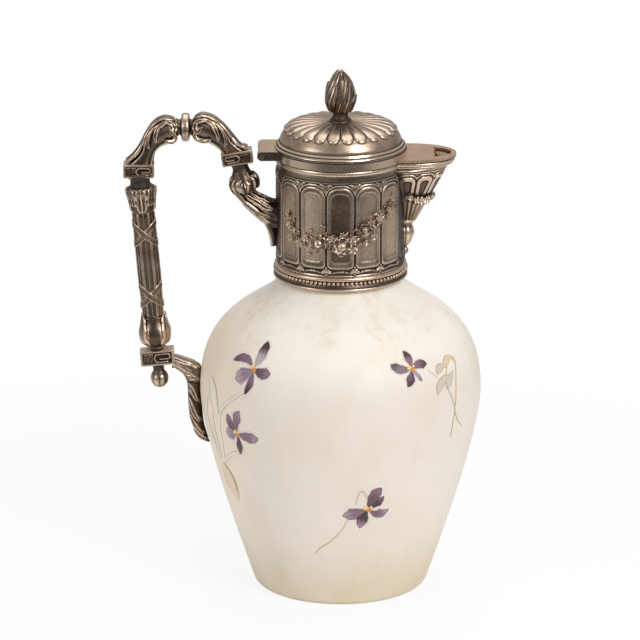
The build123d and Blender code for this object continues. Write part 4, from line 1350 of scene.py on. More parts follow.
# The long leaf over each limb's back: its line, half widths and heights from the fat end to the foot.
outer_back = ((-77.6, 226.3), (-81.4, 227.0), (-84.6, 226.1), (-87.6, 223.6), (-90.2, 219.6),
              (-92.0, 215.4), (-94.2, 211.4), (-96.8, 208.4), (-98.9, 206.9), (-100.1, 206.7))
outer_widths = (3.4, 4.2, 4.3, 3.9, 3.5, 3.4, 3.4, 3.2, 3.4, 1.8)
outer_heights = (0.7, 0.8, 0.9, 1.0, 1.1, 1.4, 1.6, 1.5, 1.2, 0.7)
inner_back = ((-67.4, 227.4), (-64.6, 228.5), (-61.6, 228.0), (-58.2, 226.4), (-54.7, 223.2),
              (-51.8, 219.3), (-49.4, 216.3), (-47.2, 214.1), (-45.0, 213.4), (-43.3, 213.6))
inner_widths = (3.4, 4.2, 4.4, 4.0, 3.5, 3.4, 3.4, 3.2, 3.4, 1.8)
inner_heights = (0.7, 0.8, 0.9, 1.0, 1.1, 1.3, 1.3, 1.1, 0.9, 0.6)
for side, limb, rows, back in (("outer", outer_limb, outer_rows, (outer_back, outer_widths, outer_heights)),
                               ("inner", inner_limb, scroll_rows, (inner_back, inner_widths, inner_heights))):
    parts = [limb.shell(90, 72, arch_relief), *limb.leaves(rows, 1.0), *limb.leaves(rows, -1.0)]
    parts.append(flat_leaf(*back, count=54, lobes=5))
    cast_piece(side + "_arch_scroll", parts, [side + "_arch"], 0.85)


def turned_shell(section, rows, columns):
    """Closed shell turned from a section of radius and level, as points and faces."""
    line = smooth_section(section, rows)
    points = turned_points((np.maximum(line[:, :1], 0.02), line[:, 1:]), around(columns))
    return points, tube_faces(rows, columns)


spool_middle = (-72.175, 222.3)
spool_half = ((0.05, 4.6), (4.0, 4.6), (4.4, 4.2), (3.9, 3.6), (3.7, 2.9), (4.0, 2.2), (4.9, 1.95),
              (6.1, 1.7), (6.7, 0.9))
spool_section = (*((radius, -side) for radius, side in spool_half), (6.72, 0.0), *spool_half[::-1])
spool_grid, spool_faces = turned_shell(spool_section, 110, 64)
spool_points = spool_grid[:, :, [2, 0, 1]] + np.array((spool_middle[0], 0.0, spool_middle[1]))
cast_piece("arch_ring", [(spool_points, spool_faces)], ["arch_spool"], 0.75, passes=10)


# ======== grip
# A reeded shaft between a leaf capital and a leaf bulb, threaded on a steel rod and drawn
# up by a ball nut. Two ribbons cross over the shaft near each of its ends.
_, grip_side, grip_up = along_frame(outer_block, grip_tilt)
grip_down = -grip_up
grip_back = np.array([0.0, 1.0, 0.0])


def on_grip(radius, turn, drop):
    """Point about the grip's axis, measured down from the outer block's middle."""
    radius, turn, drop = np.broadcast_arrays(radius, turn, drop)
    sideways, backwards = radius * np.cos(turn), radius * np.sin(turn)
    return (np.array(outer_block) + drop[..., None] * grip_down
            + sideways[..., None] * grip_side + backwards[..., None] * grip_back)


def grip_shell(section, rows, columns, relief=None):
    """Turned shell on the grip's axis from points of radius and drop."""
    line = smooth_section(section, rows)
    turn = around(columns)[None, :]
    radius = line[:, :1] + (relief(line[:, 1:], turn) if relief else 0.0 * turn)
    return on_grip(np.maximum(radius, 0.02), turn, line[:, 1:]), tube_faces(rows, columns)


def upright_leaf(place, drops, radii, turn, half_width, height, lobes, count=24, sway=0.0):
    """A leaf standing on a turned piece, from its foot to its tip, with lobes and a midrib."""
    share = np.linspace(0.0, 1.0, count)
    line = smooth_section(np.stack([drops, radii], axis=1), count)
    bend = turn + sway * share
    spine = place(line[:, 1], bend, line[:, 0])
    facing = place(line[:, 1] + 1.0, bend, line[:, 0]) - spine
    width = half_width * leaf_width(share, 0.16, 0.82, 0.985, 0.55)
    width = width * (0.82 + 0.18 * np.abs(np.sin(share * math.pi * lobes)))
    points, across = strip_points(spine, facing, width, np.full(count, height), 11)
    crease = height * (0.4 * crest(across, 0.3, 0.14) + 0.3 * crest(across, 0.68, 0.12)
                       - 0.35 * crest(across, 0.0, 0.16))
    return points - facing[:, None, :] * crease[None, :, None], tube_faces(count, points.shape[1])


def neck_share(value, first, start, end, last):
    """1 between start and end, easing to 0 at first and last."""
    return rise(value, first, start) * (1.0 - rise(value, end, last))


capital_section = ((0.05, 2.4), (6.4, 2.4), (6.6, 2.7), (6.5, 3.3), (5.6, 4.4), (4.9, 5.1), (4.6, 5.9),
                   (4.7, 7.6), (4.9, 8.4), (5.4, 8.8), (6.2, 9.4), (6.5, 10.4), (6.2, 12.4), (5.7, 15.5),
                   (5.3, 18.5), (5.1, 20.5), (4.6, 20.9), (0.05, 20.9))


def squared(drop, turn):
    """Draws the top of the capital out to the block's square plan."""
    square = 1.0 / np.maximum(np.abs(np.cos(turn)), np.abs(np.sin(turn)) * 1.5)
    drawn = 4.48 * (np.minimum(square, 1.32) - 1.0)
    return neck_share(drop, 2.35, 2.45, 3.2, 5.2) * drawn


capital_parts = [grip_shell(capital_section, 90, 96, squared)]
tall_radii = (5.2, 5.6, 6.2, 6.6, 6.5, 5.5)
short_radii = (6.2, 6.5, 6.7, 6.4, 5.6)
for leaf in range(8):
    turn = leaf * math.pi / 4 - math.pi / 2
    foot_drop, half_width = (20.6, 2.9) if leaf % 2 == 0 else (17.5, 2.3)
    capital_parts.append(upright_leaf(on_grip, (foot_drop, 17.0, 13.4, 11.2, 9.9, 9.2), tall_radii, turn,
                                      half_width, 0.6, 3.5))
    capital_parts.append(upright_leaf(on_grip, (14.0, 12.4, 11.0, 10.0, 9.2), short_radii, turn,
                                      1.6, 0.55, 1.0, 14))


def below_block(place):
    """How far each point lies down the grip's axis from the outer block's middle."""
    return (place - np.array(outer_block)) @ grip_down


cast_piece("grip_capital_leaves", capital_parts, ["grip_capital"],
           lambda place: 0.95 + 5.0 * neck_share(below_block(place), 3.6, 4.4, 8.4, 9.2))


def reeds(drop, turn):
    """Broad flutes round the shaft with a pair of fine reeds between them."""
    phase = np.abs(((turn + math.pi / 2) / (math.pi / 3)) % 1.0 - 0.5)
    fade = rise(drop, 20.8, 22.5) * (1.0 - rise(drop, 71.0, 72.8))
    flute = 0.55 * wire_bead(phase - 0.5 + 0.19, 0.19)
    fine = 0.28 * wire_bead(phase - 0.08, 0.055) + 0.3 * wire_bead(phase, 0.05)
    return (fine - flute * (phase > 0.12)) * fade


shaft_section = ((0.05, 20.8), (4.8, 20.8), (4.95, 21.4), (5.05, 30.0), (5.1, 42.0), (5.15, 52.0),
                 (4.9, 62.0), (4.7, 69.0), (4.6, 72.6), (4.4, 72.9), (0.05, 72.9))
cast_piece("grip_shaft_reeds", [grip_shell(shaft_section, 110, 168, reeds)], ["grip_shaft"], 0.7,
           passes=12, depth=0.25)

# A ribbon's section, with its raised edges, by its places across and their heights.
ribbon_across = np.array([-1.0, -0.86, -0.7, -0.35, 0.0, 0.35, 0.7, 0.86, 1.0, 0.5, -0.5])
ribbon_lift = np.array([0.0, 0.5, 0.42, 0.3, 0.3, 0.3, 0.42, 0.5, 0.0, -0.5, -0.5])
ribbon_half = 1.45
ribbon_steps = 96
ribbon_middle = np.abs(ribbon_across) < 0.6
ribbon_stripes = 1.0 + 0.35 * (np.arange(ribbon_steps) % 2)[:, None] * ribbon_middle[None, :]
ribbon_turn = np.linspace(0.0, full_turn, ribbon_steps + 1)[:-1]
ribbon_parts = []
for ribbon_drop, ribbon_climb, ribbon_radius in ((31.6, 5.2, 5.15), (61.8, 5.0, 5.0)):
    for lean, over in ((-1.0, 0.0), (1.0, 0.42)):
        radius = ribbon_radius + 0.12 + over * (1.0 - np.abs(np.cos(ribbon_turn))) ** 2
        drop = ribbon_drop + lean * ribbon_climb * np.cos(ribbon_turn)
        spine = on_grip(radius, ribbon_turn, drop)
        facing = on_grip(radius + 1.0, ribbon_turn, drop) - spine
        ahead = np.roll(spine, -1, axis=0) - np.roll(spine, 1, axis=0)
        sideways = np.cross(ahead / np.linalg.norm(ahead, axis=1, keepdims=True), facing)
        points = (spine[:, None, :] + sideways[:, None, :] * (ribbon_half * ribbon_across)[None, :, None]
                  + facing[:, None, :] * (ribbon_lift[None, :] * ribbon_stripes)[:, :, None])
        ribbon_parts.append((points, grid_faces(ribbon_steps, len(ribbon_across), True, True)))
cast_piece("grip_ribbons", ribbon_parts, (), 0.5, passes=3)

bulb_section = ((0.05, 72.7), (4.6, 72.7), (4.8, 73.6), (5.3, 75.5), (6.4, 78.0), (7.0, 80.8), (6.7, 83.2),
                (5.4, 85.4), (4.2, 86.6), (3.9, 87.3), (4.2, 88.0), (4.9, 88.5), (4.9, 89.0), (0.05, 89.0))
bulb_parts = [grip_shell(bulb_section, 70, 72)]
broad_leaf = ((86.0, 83.6, 80.4, 77.2, 74.2, 71.6), (4.6, 6.7, 7.05, 6.3, 5.6, 5.1))
narrow_leaf = ((86.0, 83.0, 79.0, 75.0, 72.6), (4.6, 6.2, 6.3, 5.2, 5.3))
for face in (-1.0, 1.0):
    for hand in (-1.0, 1.0):
        turn = face * (math.pi / 2 - hand * 0.80)
        bulb_parts.append(upright_leaf(on_grip, *broad_leaf, turn, 3.3, 0.9, 3.0, sway=-face * hand * 0.34))
    bulb_parts.append(upright_leaf(on_grip, *narrow_leaf, face * math.pi / 2, 2.0, 0.5, 3.0))


def bulb_dark(place):
    """The bulb is darkest between its large leaves, where the small ones lie."""
    across = np.abs((place - np.array(outer_block)) @ grip_side)
    return 5.0 - 5.1 * rise(across, 1.6, 2.8)


cast_piece("grip_bulb_leaves", bulb_parts, ["grip_bulb"], bulb_dark)


def bud_lobes(drop, turn):
    """Eight soft lobes round the ball nut."""
    return 0.3 * (np.abs(np.sin(turn * 4.0)) ** 0.6 - 0.6) * rise(drop, 100.5, 102.5)


nut_section = ((0.05, 96.0), (3.3, 96.1), (3.2, 96.8), (2.7, 97.5), (2.6, 99.4), (3.1, 100.3), (3.9, 101.6),
               (4.25, 103.4), (3.9, 105.2), (2.7, 106.8), (1.3, 107.7), (0.05, 108.0))
cast_piece("ball_nut", [grip_shell(nut_section, 60, 64, bud_lobes)], ["rod_nut"],
           lambda place: 0.4 + 5.0 * rise(place[:, 2], 103.6, 104.6), passes=8)


# ======== upper arm
# From the inner block a short neck, a leaf bud and a fluted arm run down to the collar,
# where leaves spread and one hangs against the panels. All of it is one casting.
upper_limb = Limb((
    (-51.4, 205.6, -43.8, 206.6, 3.7), (-50.9, 203.6, -43.3, 204.6, 3.7), (-50.3, 201.6, -42.7, 202.9, 3.8),
    (-50.7, 199.4, -41.6, 201.2, 4.8), (-51.5, 195.8, -39.5, 198.2, 5.8), (-50.6, 192.0, -39.2, 194.6, 5.5),
    (-48.6, 189.2, -40.4, 192.0, 4.8), (-45.0, 185.0, -38.6, 190.0, 4.4), (-40.8, 181.2, -35.4, 188.6, 4.6),
    (-36.8, 177.8, -32.4, 186.9, 5.4), (-32.6, 174.8, -29.2, 185.9, 6.2),
    (-29.2, 173.4, -28.2, 185.4, 6.6)), fullness=1.0)


def arm_relief(share, turn):
    """Ribs along the arm below its bud, and sides that are sunken past its neck."""
    side = from_back(turn)
    ribs = 0.28 * np.sin(np.radians(side) * 9.0) * rise(share, 0.42, 0.55)
    sunk = 0.35 * rise(side, 51.0, 60.0) * (1.0 - rise(side, 120.0, 129.0))
    return ribs - sunk * rise(share, 0.2, 0.3)


# Leaves of the bud and the arm on each face: shares, turns, half width, height and lobes.
arm_rows = (
    ((0.33, 0.38, 0.43, 0.52), (92, 90, 92, 98), 4.1, 1.5, 0),
    ((0.36, 0.40, 0.43, 0.49), (92, 90, 92, 98), 1.7, 2.3, 0),
    ((0.31, 0.36, 0.41, 0.50), (134, 146, 150, 146), 1.8, 1.4, 0),
    ((0.32, 0.37, 0.43, 0.52), (46, 34, 34, 46), 2.1, 1.2, 0),
    ((0.47, 0.6, 0.76, 0.9), (62, 58, 64, 88), 1.5, 1.1, 3),
    ((0.54, 0.66, 0.78, 0.9), (96, 108, 108, 128), 1.7, 1.1, 4),
    ((0.50, 0.6, 0.72, 0.86), (132, 146, 148, 158), 1.5, 1.0, 3),
    ((0.62, 0.76, 0.9, 1.0), (26, 28, 36, 50), 1.7, 1.0, 3),
)
under_rows = (
    ((0.28, 0.36, 0.43, 0.5), (180, 180, 180, 176), 2.2, 1.3, 0, 24, 0.9),
    ((0.7, 0.8, 0.9, 0.99), (180, 180, 180, 180), 2.6, 1.0, 3, 24, 1.6),
)
arm_parts = [upper_limb.shell(100, 72, arm_relief)]
for rows, face in ((arm_rows, 1.0), (arm_rows, -1.0), (under_rows, 1.0)):
    arm_parts += upper_limb.leaves(rows, face)
arm_seat = 29.35
hanging_steps = 26
hanging_line = ((-37.0, 179.6), (-34.6, 176.2), (-32.9, 172.4), (-31.9, 168.4), (-31.3, 164.6))
hanging = smooth_section(hanging_line, hanging_steps)
hanging_spine = np.insert(hanging, 1, 0.0, axis=1)
hanging_share = np.linspace(0, 1, hanging_steps)
hanging_width = np.interp(hanging_share, (0.0, 0.25, 0.6, 0.9, 1.0), (3.4, 4.2, 3.2, 1.8, 0.4))
hanging_facing = np.tile([-1.0, 0.0, -0.2], (hanging_steps, 1))
hanging_points, hanging_across = strip_points(hanging_spine, hanging_facing, hanging_width,
                                              np.full(hanging_steps, 1.2), 11, under=2.6)
hanging_points[:, :, 0] -= 0.18 * (1.0 - hanging_across ** 2)[None, :]
arm_parts.append((hanging_points, tube_faces(hanging_steps, hanging_points.shape[1])))
arm_parts = [(keep_off_axis(points, arm_seat), faces) for points, faces in arm_parts]


def arm_dark(place):
    """The arm is darkest in its neck, and painted shade darkens it against the collar and behind the hanging
    leaf.
    """
    out = np.hypot(place[:, 0], place[:, 1])
    low = 1.0 - rise(place[:, 2], 173.0, 178.0)
    leaf_shade = rise(place[:, 0] - np.interp(place[:, 2], hanging[::-1, 1], hanging[::-1, 0]), -0.5, 0.3)
    neck = rise(place[:, 2], 199.6, 201.4)
    collar_shade = (1.0 - rise(out, 30.5, 35.0)) * (1.0 - low)
    # Painted shade: dark against the collar and behind the hanging leaf, where shade falls.
    return 1.6 + 1.2 * rise(place[:, 2], 186.0, 190.0) + 4.0 * neck + 3.5 * collar_shade + 9.0 * low * leaf_shade


cast_piece("upper_arm_casting", arm_parts, ["upper_arm"], arm_dark)


# ======== lower arm
# From the lower block an arm turns down into a strap of overlapping leaves whose back is
# hollowed to lie along the glass.
lower_limb = Limb((
    (-79.6, 105.0, -79.2, 111.4, 3.4), (-78.0, 105.0, -77.6, 111.2, 3.6), (-75.9, 103.5, -74.0, 109.9, 4.0),
    (-73.7, 101.4, -69.6, 108.4, 4.6), (-72.6, 98.2, -66.0, 106.2, 5.0), (-72.2, 94.2, -65.6, 99.6, 5.4),
    (-72.0, 88.5, -65.8, 90.6, 5.9), (-71.6, 83.0, -65.2, 82.6, 6.4), (-70.4, 77.6, -64.4, 76.6, 6.1),
    (-68.0, 72.6, -63.2, 72.2, 4.6), (-64.6, 69.2, -62.6, 69.8, 2.2), (-62.4, 67.7, -62.0, 68.3, 0.4)), 1.0)


def strap_relief(share, turn):
    """Slanted gadroons down the strap with a smooth back."""
    side = from_back(turn)
    slant = (share * 9.0 - side / 110.0) % 1.0
    gadroon = 0.75 * (slant * 1.35 * (slant < 0.74) + (1.0 - slant) * 3.85 * (slant >= 0.74)) - 0.35
    worked = rise(share, 0.3, 0.38) * (1.0 - rise(share, 0.93, 0.98)) * rise(side, 16.0, 28.0)
    flutes = 0.3 * np.sin(np.radians(side) * 6.0) * (1.0 - rise(share, 0.28, 0.4))
    return gadroon * worked * (1.0 - rise(side, 135.0, 165.0)) + flutes


# The strap's overlapping leaves by their first share and span, then the two at its head.
strap_leaves = ((0.26, 0.16), (0.38, 0.17), (0.5, 0.18), (0.63, 0.17), (0.76, 0.13))
strap_rows = [([first + part * span for part in (0.0, 0.4, 0.75, 1.0)], (40, 66, 92, 116), 1.25, 0.9, 0,
               18, 0.3) for first, span in strap_leaves]
strap_rows += [((0.03, 0.14, 0.26, 0.36), (62, 60, 66, 92), 1.2, 0.9),
               ((0.03, 0.12, 0.22, 0.31), (118, 122, 126, 140), 1.2, 0.9)]
lower_parts = [lower_limb.shell(150, 72, strap_relief), *lower_limb.leaves(strap_rows, 1.0),
               *lower_limb.leaves(strap_rows, -1.0)]
side_line = bottle_side(0.0, 0.0)


def keep_off_glass(points, inset):
    """Moves what would lie inside the glass out to just under its skin."""
    skin = np.interp(points[..., 2], side_line[:, 1], side_line[:, 0]) - inset
    reach = np.hypot(points[..., 0], points[..., 1])
    push = np.where(reach < skin, skin / np.maximum(reach, 1e-6), 1.0)
    return points * np.stack([push, push, np.ones(push.shape)], axis=-1)


glass_overlap = 0.1
lower_parts = [(keep_off_glass(points, glass_overlap), faces) for points, faces in lower_parts]
cast_piece("lower_arm_strap", lower_parts, ["lower_arm"],
           lambda place: 1.3 - 0.7 * rise(place[:, 2], 96.0, 106.0))


# ======== lid rim and bezel
# The lid's rim is a moulded wire with a plain band, and a bezel inside it drops into the
# collar. A notch at the back clears the hinge's tongue.
rim_silver = silver_finish("rim_silver", (0.88, 0.68, 0.52), (0.68, 0.52, 0.39), 0.2, 0.05,
                           (208.85, 212.85, 213.6, 214.85, 216.3), 0.2)
dress_node("lid_rim", rim_silver)
dress_node("lid_bezel", old_silver)


# ======== lid dome
# Raised sheet with a nearly flat crown, chased with twenty four gadroons that open out from
# the finial and end in round tips.
gadroon_count = 24
gadroon_end = 2.75
gadroon_level = 220.9
dome_foot = 216.35
dome_corners = ((28.4, dome_foot), (28.25, 217.6), (27.4, 219.4), (25.9, 221.6), (23.0, 223.4),
                (18.7, 224.4), (12.0, 225.1), (6.0, 225.45), (1.55, 225.5))
dome_line = smooth_section(dome_corners, 110)
dome_inner = smooth_section([(radius - 1.0 if level < 219 else radius - 0.6, level - 1.0 * (level > 216.4))
                             for radius, level in dome_corners[:-1]] + [(1.55, 224.5)], 24)[::-1]


def gadroon_relief(radius, turn, run, tip_run):
    """Height of the gadroons: round topped lobes that widen outwards, outlined by a groove."""
    lobe_half = math.pi * radius / gadroon_count
    across = ((turn / (2 * math.pi) * gadroon_count) % 1.0 - 0.5) * 2.0 * lobe_half
    past = np.maximum(tip_run + gadroon_end - run, 0.0)
    full = np.minimum(lobe_half * 0.93, np.sqrt(np.maximum(gadroon_end ** 2 - past ** 2, 0.0)) * (past > 0)
                      + lobe_half * (past <= 0))
    full = np.where(past >= gadroon_end, 0.001, full)
    lobe = wire_bead(across, np.maximum(full, 0.001))
    fade = rise(radius, 4.6, 6.5)
    outline = crest(across, full, 0.35) * (past < gadroon_end * 0.98)
    return fade * (0.85 * lobe * np.clip(full / 2.2, 0.25, 1.0) * (past < gadroon_end) - 0.3 * outline)


dome_run = run_along(dome_line)
tip_run = float(np.interp(gadroon_level, dome_line[:, 1], dome_run))
dome_turns = around(gadroon_count * 30)
dome_lift = gadroon_relief(dome_line[:, :1], dome_turns[None, :], dome_run[:, None], tip_run)
dome_skin = dome_line[:, None, :] + facing_along(dome_line)[:, None, :] * dome_lift[:, :, None]
dome_lining = np.repeat(dome_inner[:, None, :], len(dome_turns), axis=1)
dome_section = np.concatenate([dome_skin, dome_lining])
dome_points = turned_points((dome_section[:, :, 0], dome_section[:, :, 1]), dome_turns)
silver_piece("lid_dome_gadroons", dome_points, grid_faces(len(dome_points), len(dome_turns), True, True),
             ["lid_dome"], -0.5, 16, 0.2, "lid")


# ======== finial
# A cast flame of twisting tongues on a short turned stem, held by a round nut inside.
stem_section = ((0.05, 225.0), (5.0, 225.0), (5.3, 225.5), (5.1, 226.1), (4.4, 226.6), (3.7, 227.6),
                (3.5, 228.8), (3.8, 229.9), (4.4, 230.9), (4.4, 231.2), (0.05, 231.2))
cast_piece("finial_stem_turned", [turned_shell(stem_section, 60, 64)], ["finial_stem"], 8.0, passes=8,
           body="lid")

flame_foot = 230.6
flame_height = 18.7


def on_finial(radius, turn, level):
    """Point about the lid's axis."""
    radius, turn, level = np.broadcast_arrays(radius, turn, level)
    return np.stack([radius * np.cos(turn), radius * np.sin(turn), level], axis=-1)


flame_section = ((0.05, 0.0), (4.2, 0.0), (5.2, 0.13), (6.2, 0.27), (6.0, 0.42), (5.2, 0.6), (3.9, 0.78),
                 (2.1, 0.91), (1.5, 0.97), (0.05, 1.0))
flame_line = smooth_section(flame_section, 60)
flame_core, flame_faces = turned_shell(flame_section, 60, 48)
flame_core[:, :, 2] = flame_foot + flame_core[:, :, 2] * flame_height
flame_parts = [(flame_core, flame_faces)]
# Rings of tongues: how many, where they start and end on the flame, half width, turn and tips' lift.
flame_rings = ((4, 0.10, 1.0, 2.7, 0.35, 0.0), (5, 0.0, 0.72, 2.5, 0.0, 0.35),
               (5, 0.0, 0.42, 1.8, 0.75, 0.75))
for tongues, low, high, half_width, start, tip_lift in flame_rings:
    heights = np.linspace(low, high, 6)
    reach = np.interp(heights, flame_line[4:-2, 1], flame_line[4:-2, 0]) + 0.25
    reach[-1] += tip_lift - 0.25
    for tongue in range(tongues):
        flame_parts.append(upright_leaf(on_finial, flame_foot + heights * flame_height, reach,
                                        start + tongue * full_turn / tongues, half_width, 0.95, 1.0, 26,
                                        0.75 * (high - low)))
cast_piece("finial_flame_tongues", flame_parts, ["finial_flame"], 0.8, passes=5, depth=0.4,
           body="lid")
dress_node("finial_nut", old_silver)


# ======== spout cover and hinge leaf
# A flat plate soldered to the lid's band covers the spout, with a toothed pouring hole. At
# the back a bent leaf wraps the hinge's pin.
cover_tones = ((0.79, 0.555, 0.365), (0.57, 0.395, 0.26))
dress_node("spout_cover", silver_finish("rubbed_silver", *cover_tones, 0.36, 0.3, (208.85,), 0.25))
dress_node("lid_leaf", silver_finish("leaf_silver", *cover_tones, 0.36, 0.3, clean=0.2, flank=11.5))


# ======== enamelled violets
# Violets are painted on the frosted bottle in thick enamel: purple petals dark at their tips
# about an orange eye, cream stems and pale leaves, all outlined in gilding and fired on.
side_run = run_along(side_line)
side_facing = facing_along(side_line)


def on_glass(azimuth, level, lift):
    """Points on the bottle by degrees from the front towards the spout, standing out by the lift."""
    radius, out, climb = (np.interp(level, side_line[:, 1], values)
                          for values in (side_line[:, 0], side_facing[:, 0], side_facing[:, 1]))
    angle = np.radians(azimuth - 90.0)
    reach = radius + out * lift
    return np.stack([reach * np.cos(angle), reach * np.sin(angle), level + climb * lift], axis=-1)


def moved(azimuth, level, right, up):
    """Place reached from another by steps over the bottle's skin."""
    run = np.interp(level, side_line[:, 1], side_run) + up
    radius = np.interp(run, side_run, side_line[:, 0])
    return azimuth + np.degrees(right / radius), np.interp(run, side_run, side_line[:, 1])


def painted(line, half_widths, height, count=30, ragged=0.0):
    """A stroke of enamel along a line of degrees and levels, with its shares along and across."""
    spine = smooth_section(line, count)
    radius = np.interp(spine[:, 1], side_line[:, 1], side_line[:, 0])
    climb = np.gradient(np.interp(spine[:, 1], side_line[:, 1], side_run))
    ahead = np.stack([np.radians(np.gradient(spine[:, 0])) * radius, climb], axis=1)
    ahead /= np.linalg.norm(ahead, axis=1, keepdims=True) + 1e-9
    half = np.maximum(smooth_section([(value,) for value in half_widths], count), 0.04)
    wave = np.sin(np.linspace(0.0, 9.0, count) + 5.0 * line[0][0])[:, None]
    turn = np.linspace(0.0, math.pi, 13)
    across = np.concatenate([np.cos(turn), np.cos(turn)[-2:0:-1]])
    lift = np.concatenate([height * np.sin(turn) ** 0.5, np.full(11, -0.3)])
    half = half * (1.0 + ragged * (wave + 0.8 * np.sign(across) * np.sin(3.1 * wave + line[-1][0])))
    aside = half * across
    azimuth, level = moved(spine[:, :1], spine[:, 1:], -ahead[:, 1:] * aside, ahead[:, :1] * aside)
    along = np.broadcast_to(np.linspace(0.0, 1.0, count)[:, None], azimuth.shape)
    across = np.broadcast_to(across, azimuth.shape)
    return on_glass(azimuth, level, np.broadcast_to(lift, azimuth.shape)), along, across


def enamel_piece(name, strokes, finish):
    """One piece from painted strokes, each with a shade and a share across for every point."""
    points, faces = merged([(stroke, tube_faces(*stroke.shape[:2])) for stroke, _, _ in strokes])
    mesh = mesh_piece(name, points, faces, "root", (), "frosted_glass", finish).data
    store(mesh, "shade", np.concatenate([np.broadcast_to(shade, across.shape).ravel()
                                         for _, shade, across in strokes]))
    store(mesh, "across", np.concatenate([across.ravel() for _, _, across in strokes]))


def enamel_finish(name, first, middle, last, edge, edge_from, edge_share):
    """Glossy enamel between three colours by its shade, with an outline along its edges."""
    enamel = Finish(name)
    cloud = enamel.mottle(0.0016, 3.0)
    shade = enamel.mark("shade") + (cloud - 0.5) * 0.35
    outline = enamel.mark("across").bare().step(edge_from, edge_from + 0.14) * edge_share
    lower = enamel.blend(shade.step(-0.05, 0.5), first, middle)
    return enamel.coat({
        "Base Color": enamel.blend(outline, enamel.blend(shade.step(0.5, 1.05), lower, last), edge),
        "Roughness": 0.34 + 0.2 * cloud,
        "Normal": enamel.bumps(cloud, 0.2, 0.0002),
    })


petal_enamel = enamel_finish("petal_enamel", (0.50, 0.41, 0.435), (0.235, 0.135, 0.185),
                             (0.062, 0.031, 0.042), (0.46, 0.37, 0.37), 0.8, 0.55)
halo_enamel = enamel_finish("halo_enamel", (0.87, 0.82, 0.75), (0.85, 0.78, 0.70),
                            (0.80, 0.72, 0.63), (0.52, 0.41, 0.32), 0.86, 0.6)
eye_enamel = enamel_finish("eye_enamel", (0.86, 0.78, 0.60), (0.80, 0.60, 0.16),
                           (0.64, 0.24, 0.05), (0.70, 0.50, 0.22), 0.8, 0.6)
leaf_enamel = enamel_finish("leaf_enamel", (0.60, 0.55, 0.47), (0.88, 0.80, 0.70),
                            (0.72, 0.53, 0.33), (0.42, 0.28, 0.12), 0.72, 0.85)

# Petals by their reach to the right and up, half width, bend, and shades near the eye and at the tip.
high_violet = ((1.4, 14.6, 2.9, -1.3, 0.05, 1.2), (-14.4, 0.8, 2.3, -3.4, 0.55, 0.8),
               (-10.2, -7.0, 3.9, 0.4, 0.35, 0.1), (-2.7, -12.6, 2.0, 1.5, 0.65, 1.0),
               (10.2, -0.6, 2.9, -0.8, 0.85, 0.6))
side_violet = ((-6.0, 8.4, 2.7, 1.2, 0.8, 0.5), (2.8, 11.8, 2.7, 1.2, 0.6, 0.3),
               (13.8, 0.4, 3.0, -0.9, 0.55, 0.25), (0.1, -11.1, 2.0, 0.5, 0.95, 0.85),
               (-8.6, -1.4, 3.6, 0.4, 0.3, 0.15))
right_violet = ((-1.2, 9.0, 2.1, -0.9, 0.55, 1.15), (9.3, 0.6, 2.4, 0.9, 0.6, 0.9),
                (-9.8, 3.4, 2.5, 1.3, 0.5, 0.9), (-3.9, -8.2, 2.2, 0.8, 0.8, 1.0),
                (4.6, -7.1, 1.2, 0.3, 0.15, 0.3))
low_violet = ((6.2, 11.4, 3.0, 1.0, 0.85, 0.6), (7.4, 6.6, 2.0, -0.8, 1.1, 0.7),
              (-12.0, -3.6, 3.2, 0.4, 0.6, 0.25), (-3.2, -11.0, 2.9, -0.5, 1.1, 0.3),
              (10.6, -1.2, 2.4, -2.6, 0.7, 0.3))
# Each violet's petals, its degrees from the front towards the spout, its level and its spin.
violets = ((high_violet, -40.6, 119.1, 0.0), (side_violet, -47.2, 87.0, 0.0),
           (right_violet, 32.3, 120.7, 0.0), (low_violet, 12.7, 53.9, 0.0),
           (high_violet, 118.0, 108.0, 40.0), (side_violet, 142.0, 62.0, -25.0),
           (right_violet, 176.0, 116.0, 15.0), (low_violet, 204.0, 78.0, 60.0),
           (side_violet, 232.0, 118.0, 80.0), (right_violet, 104.0, 62.0, -50.0))
# An eye's dabs by their place to the right and up, radius and shade.
eye_dabs = ((-0.9, 0.6, 1.15, 0.45), (0.5, -0.5, 1.35, 0.95), (-1.6, 0.1, 0.5, 0.0), (1.5, 0.9, 0.55, 0.0))
petal_shares = (0.07, 0.3, 0.52, 0.72, 0.9, 1.0)
petal_strokes, halo_strokes, eye_strokes = [], [], []
# A pale halo goes on first, then the petal: growth, spare width and height of each.
layers = ((halo_strokes, 1.07, 0.5, 0.12), (petal_strokes, 1.0, 0.0, 0.32))
for petals, azimuth, level, spin in violets:
    turn = math.radians(spin)
    spun = np.array([[math.cos(turn), math.sin(turn)], [-math.sin(turn), math.cos(turn)]])
    for right, up, half, bend, near_shade, tip_shade in petals:
        reach = np.array([right, up]) @ spun
        aside = np.array([-reach[1], reach[0]]) / np.hypot(*reach) * bend
        widths = (0.5, 0.66 * half, half, 0.94 * half, 0.5 * half, 0.06)
        for strokes, grown, spare, height in layers:
            stops = [share * grown * reach + 4.0 * share * (1.0 - share) * aside for share in petal_shares]
            line = [moved(azimuth, level, *stop) for stop in stops]
            stroke, along, across = painted(line, [width + spare for width in widths], height, ragged=0.09)
            streaks = 0.1 * np.sin(across * 10.0 + right) * rise(along, 0.1, 0.4)
            shade = near_shade + (tip_shade - near_shade) * rise(along, 0.3, 0.75) + streaks
            strokes.append((stroke, shade, across))
    for right, up, radius, shade in eye_dabs:
        line = [moved(azimuth, level, right + share * radius, up) for share in (-1.0, -0.7, 0.0, 0.7, 1.0)]
        stroke, _, across = painted(line, (0.05, 0.7 * radius, radius, 0.7 * radius, 0.05), 0.6, 12)
        eye_strokes.append((stroke, shade, across))
enamel_piece("violet_halos", halo_strokes, halo_enamel)
enamel_piece("violet_petals", petal_strokes, petal_enamel)
enamel_piece("violet_eyes", eye_strokes, eye_enamel)

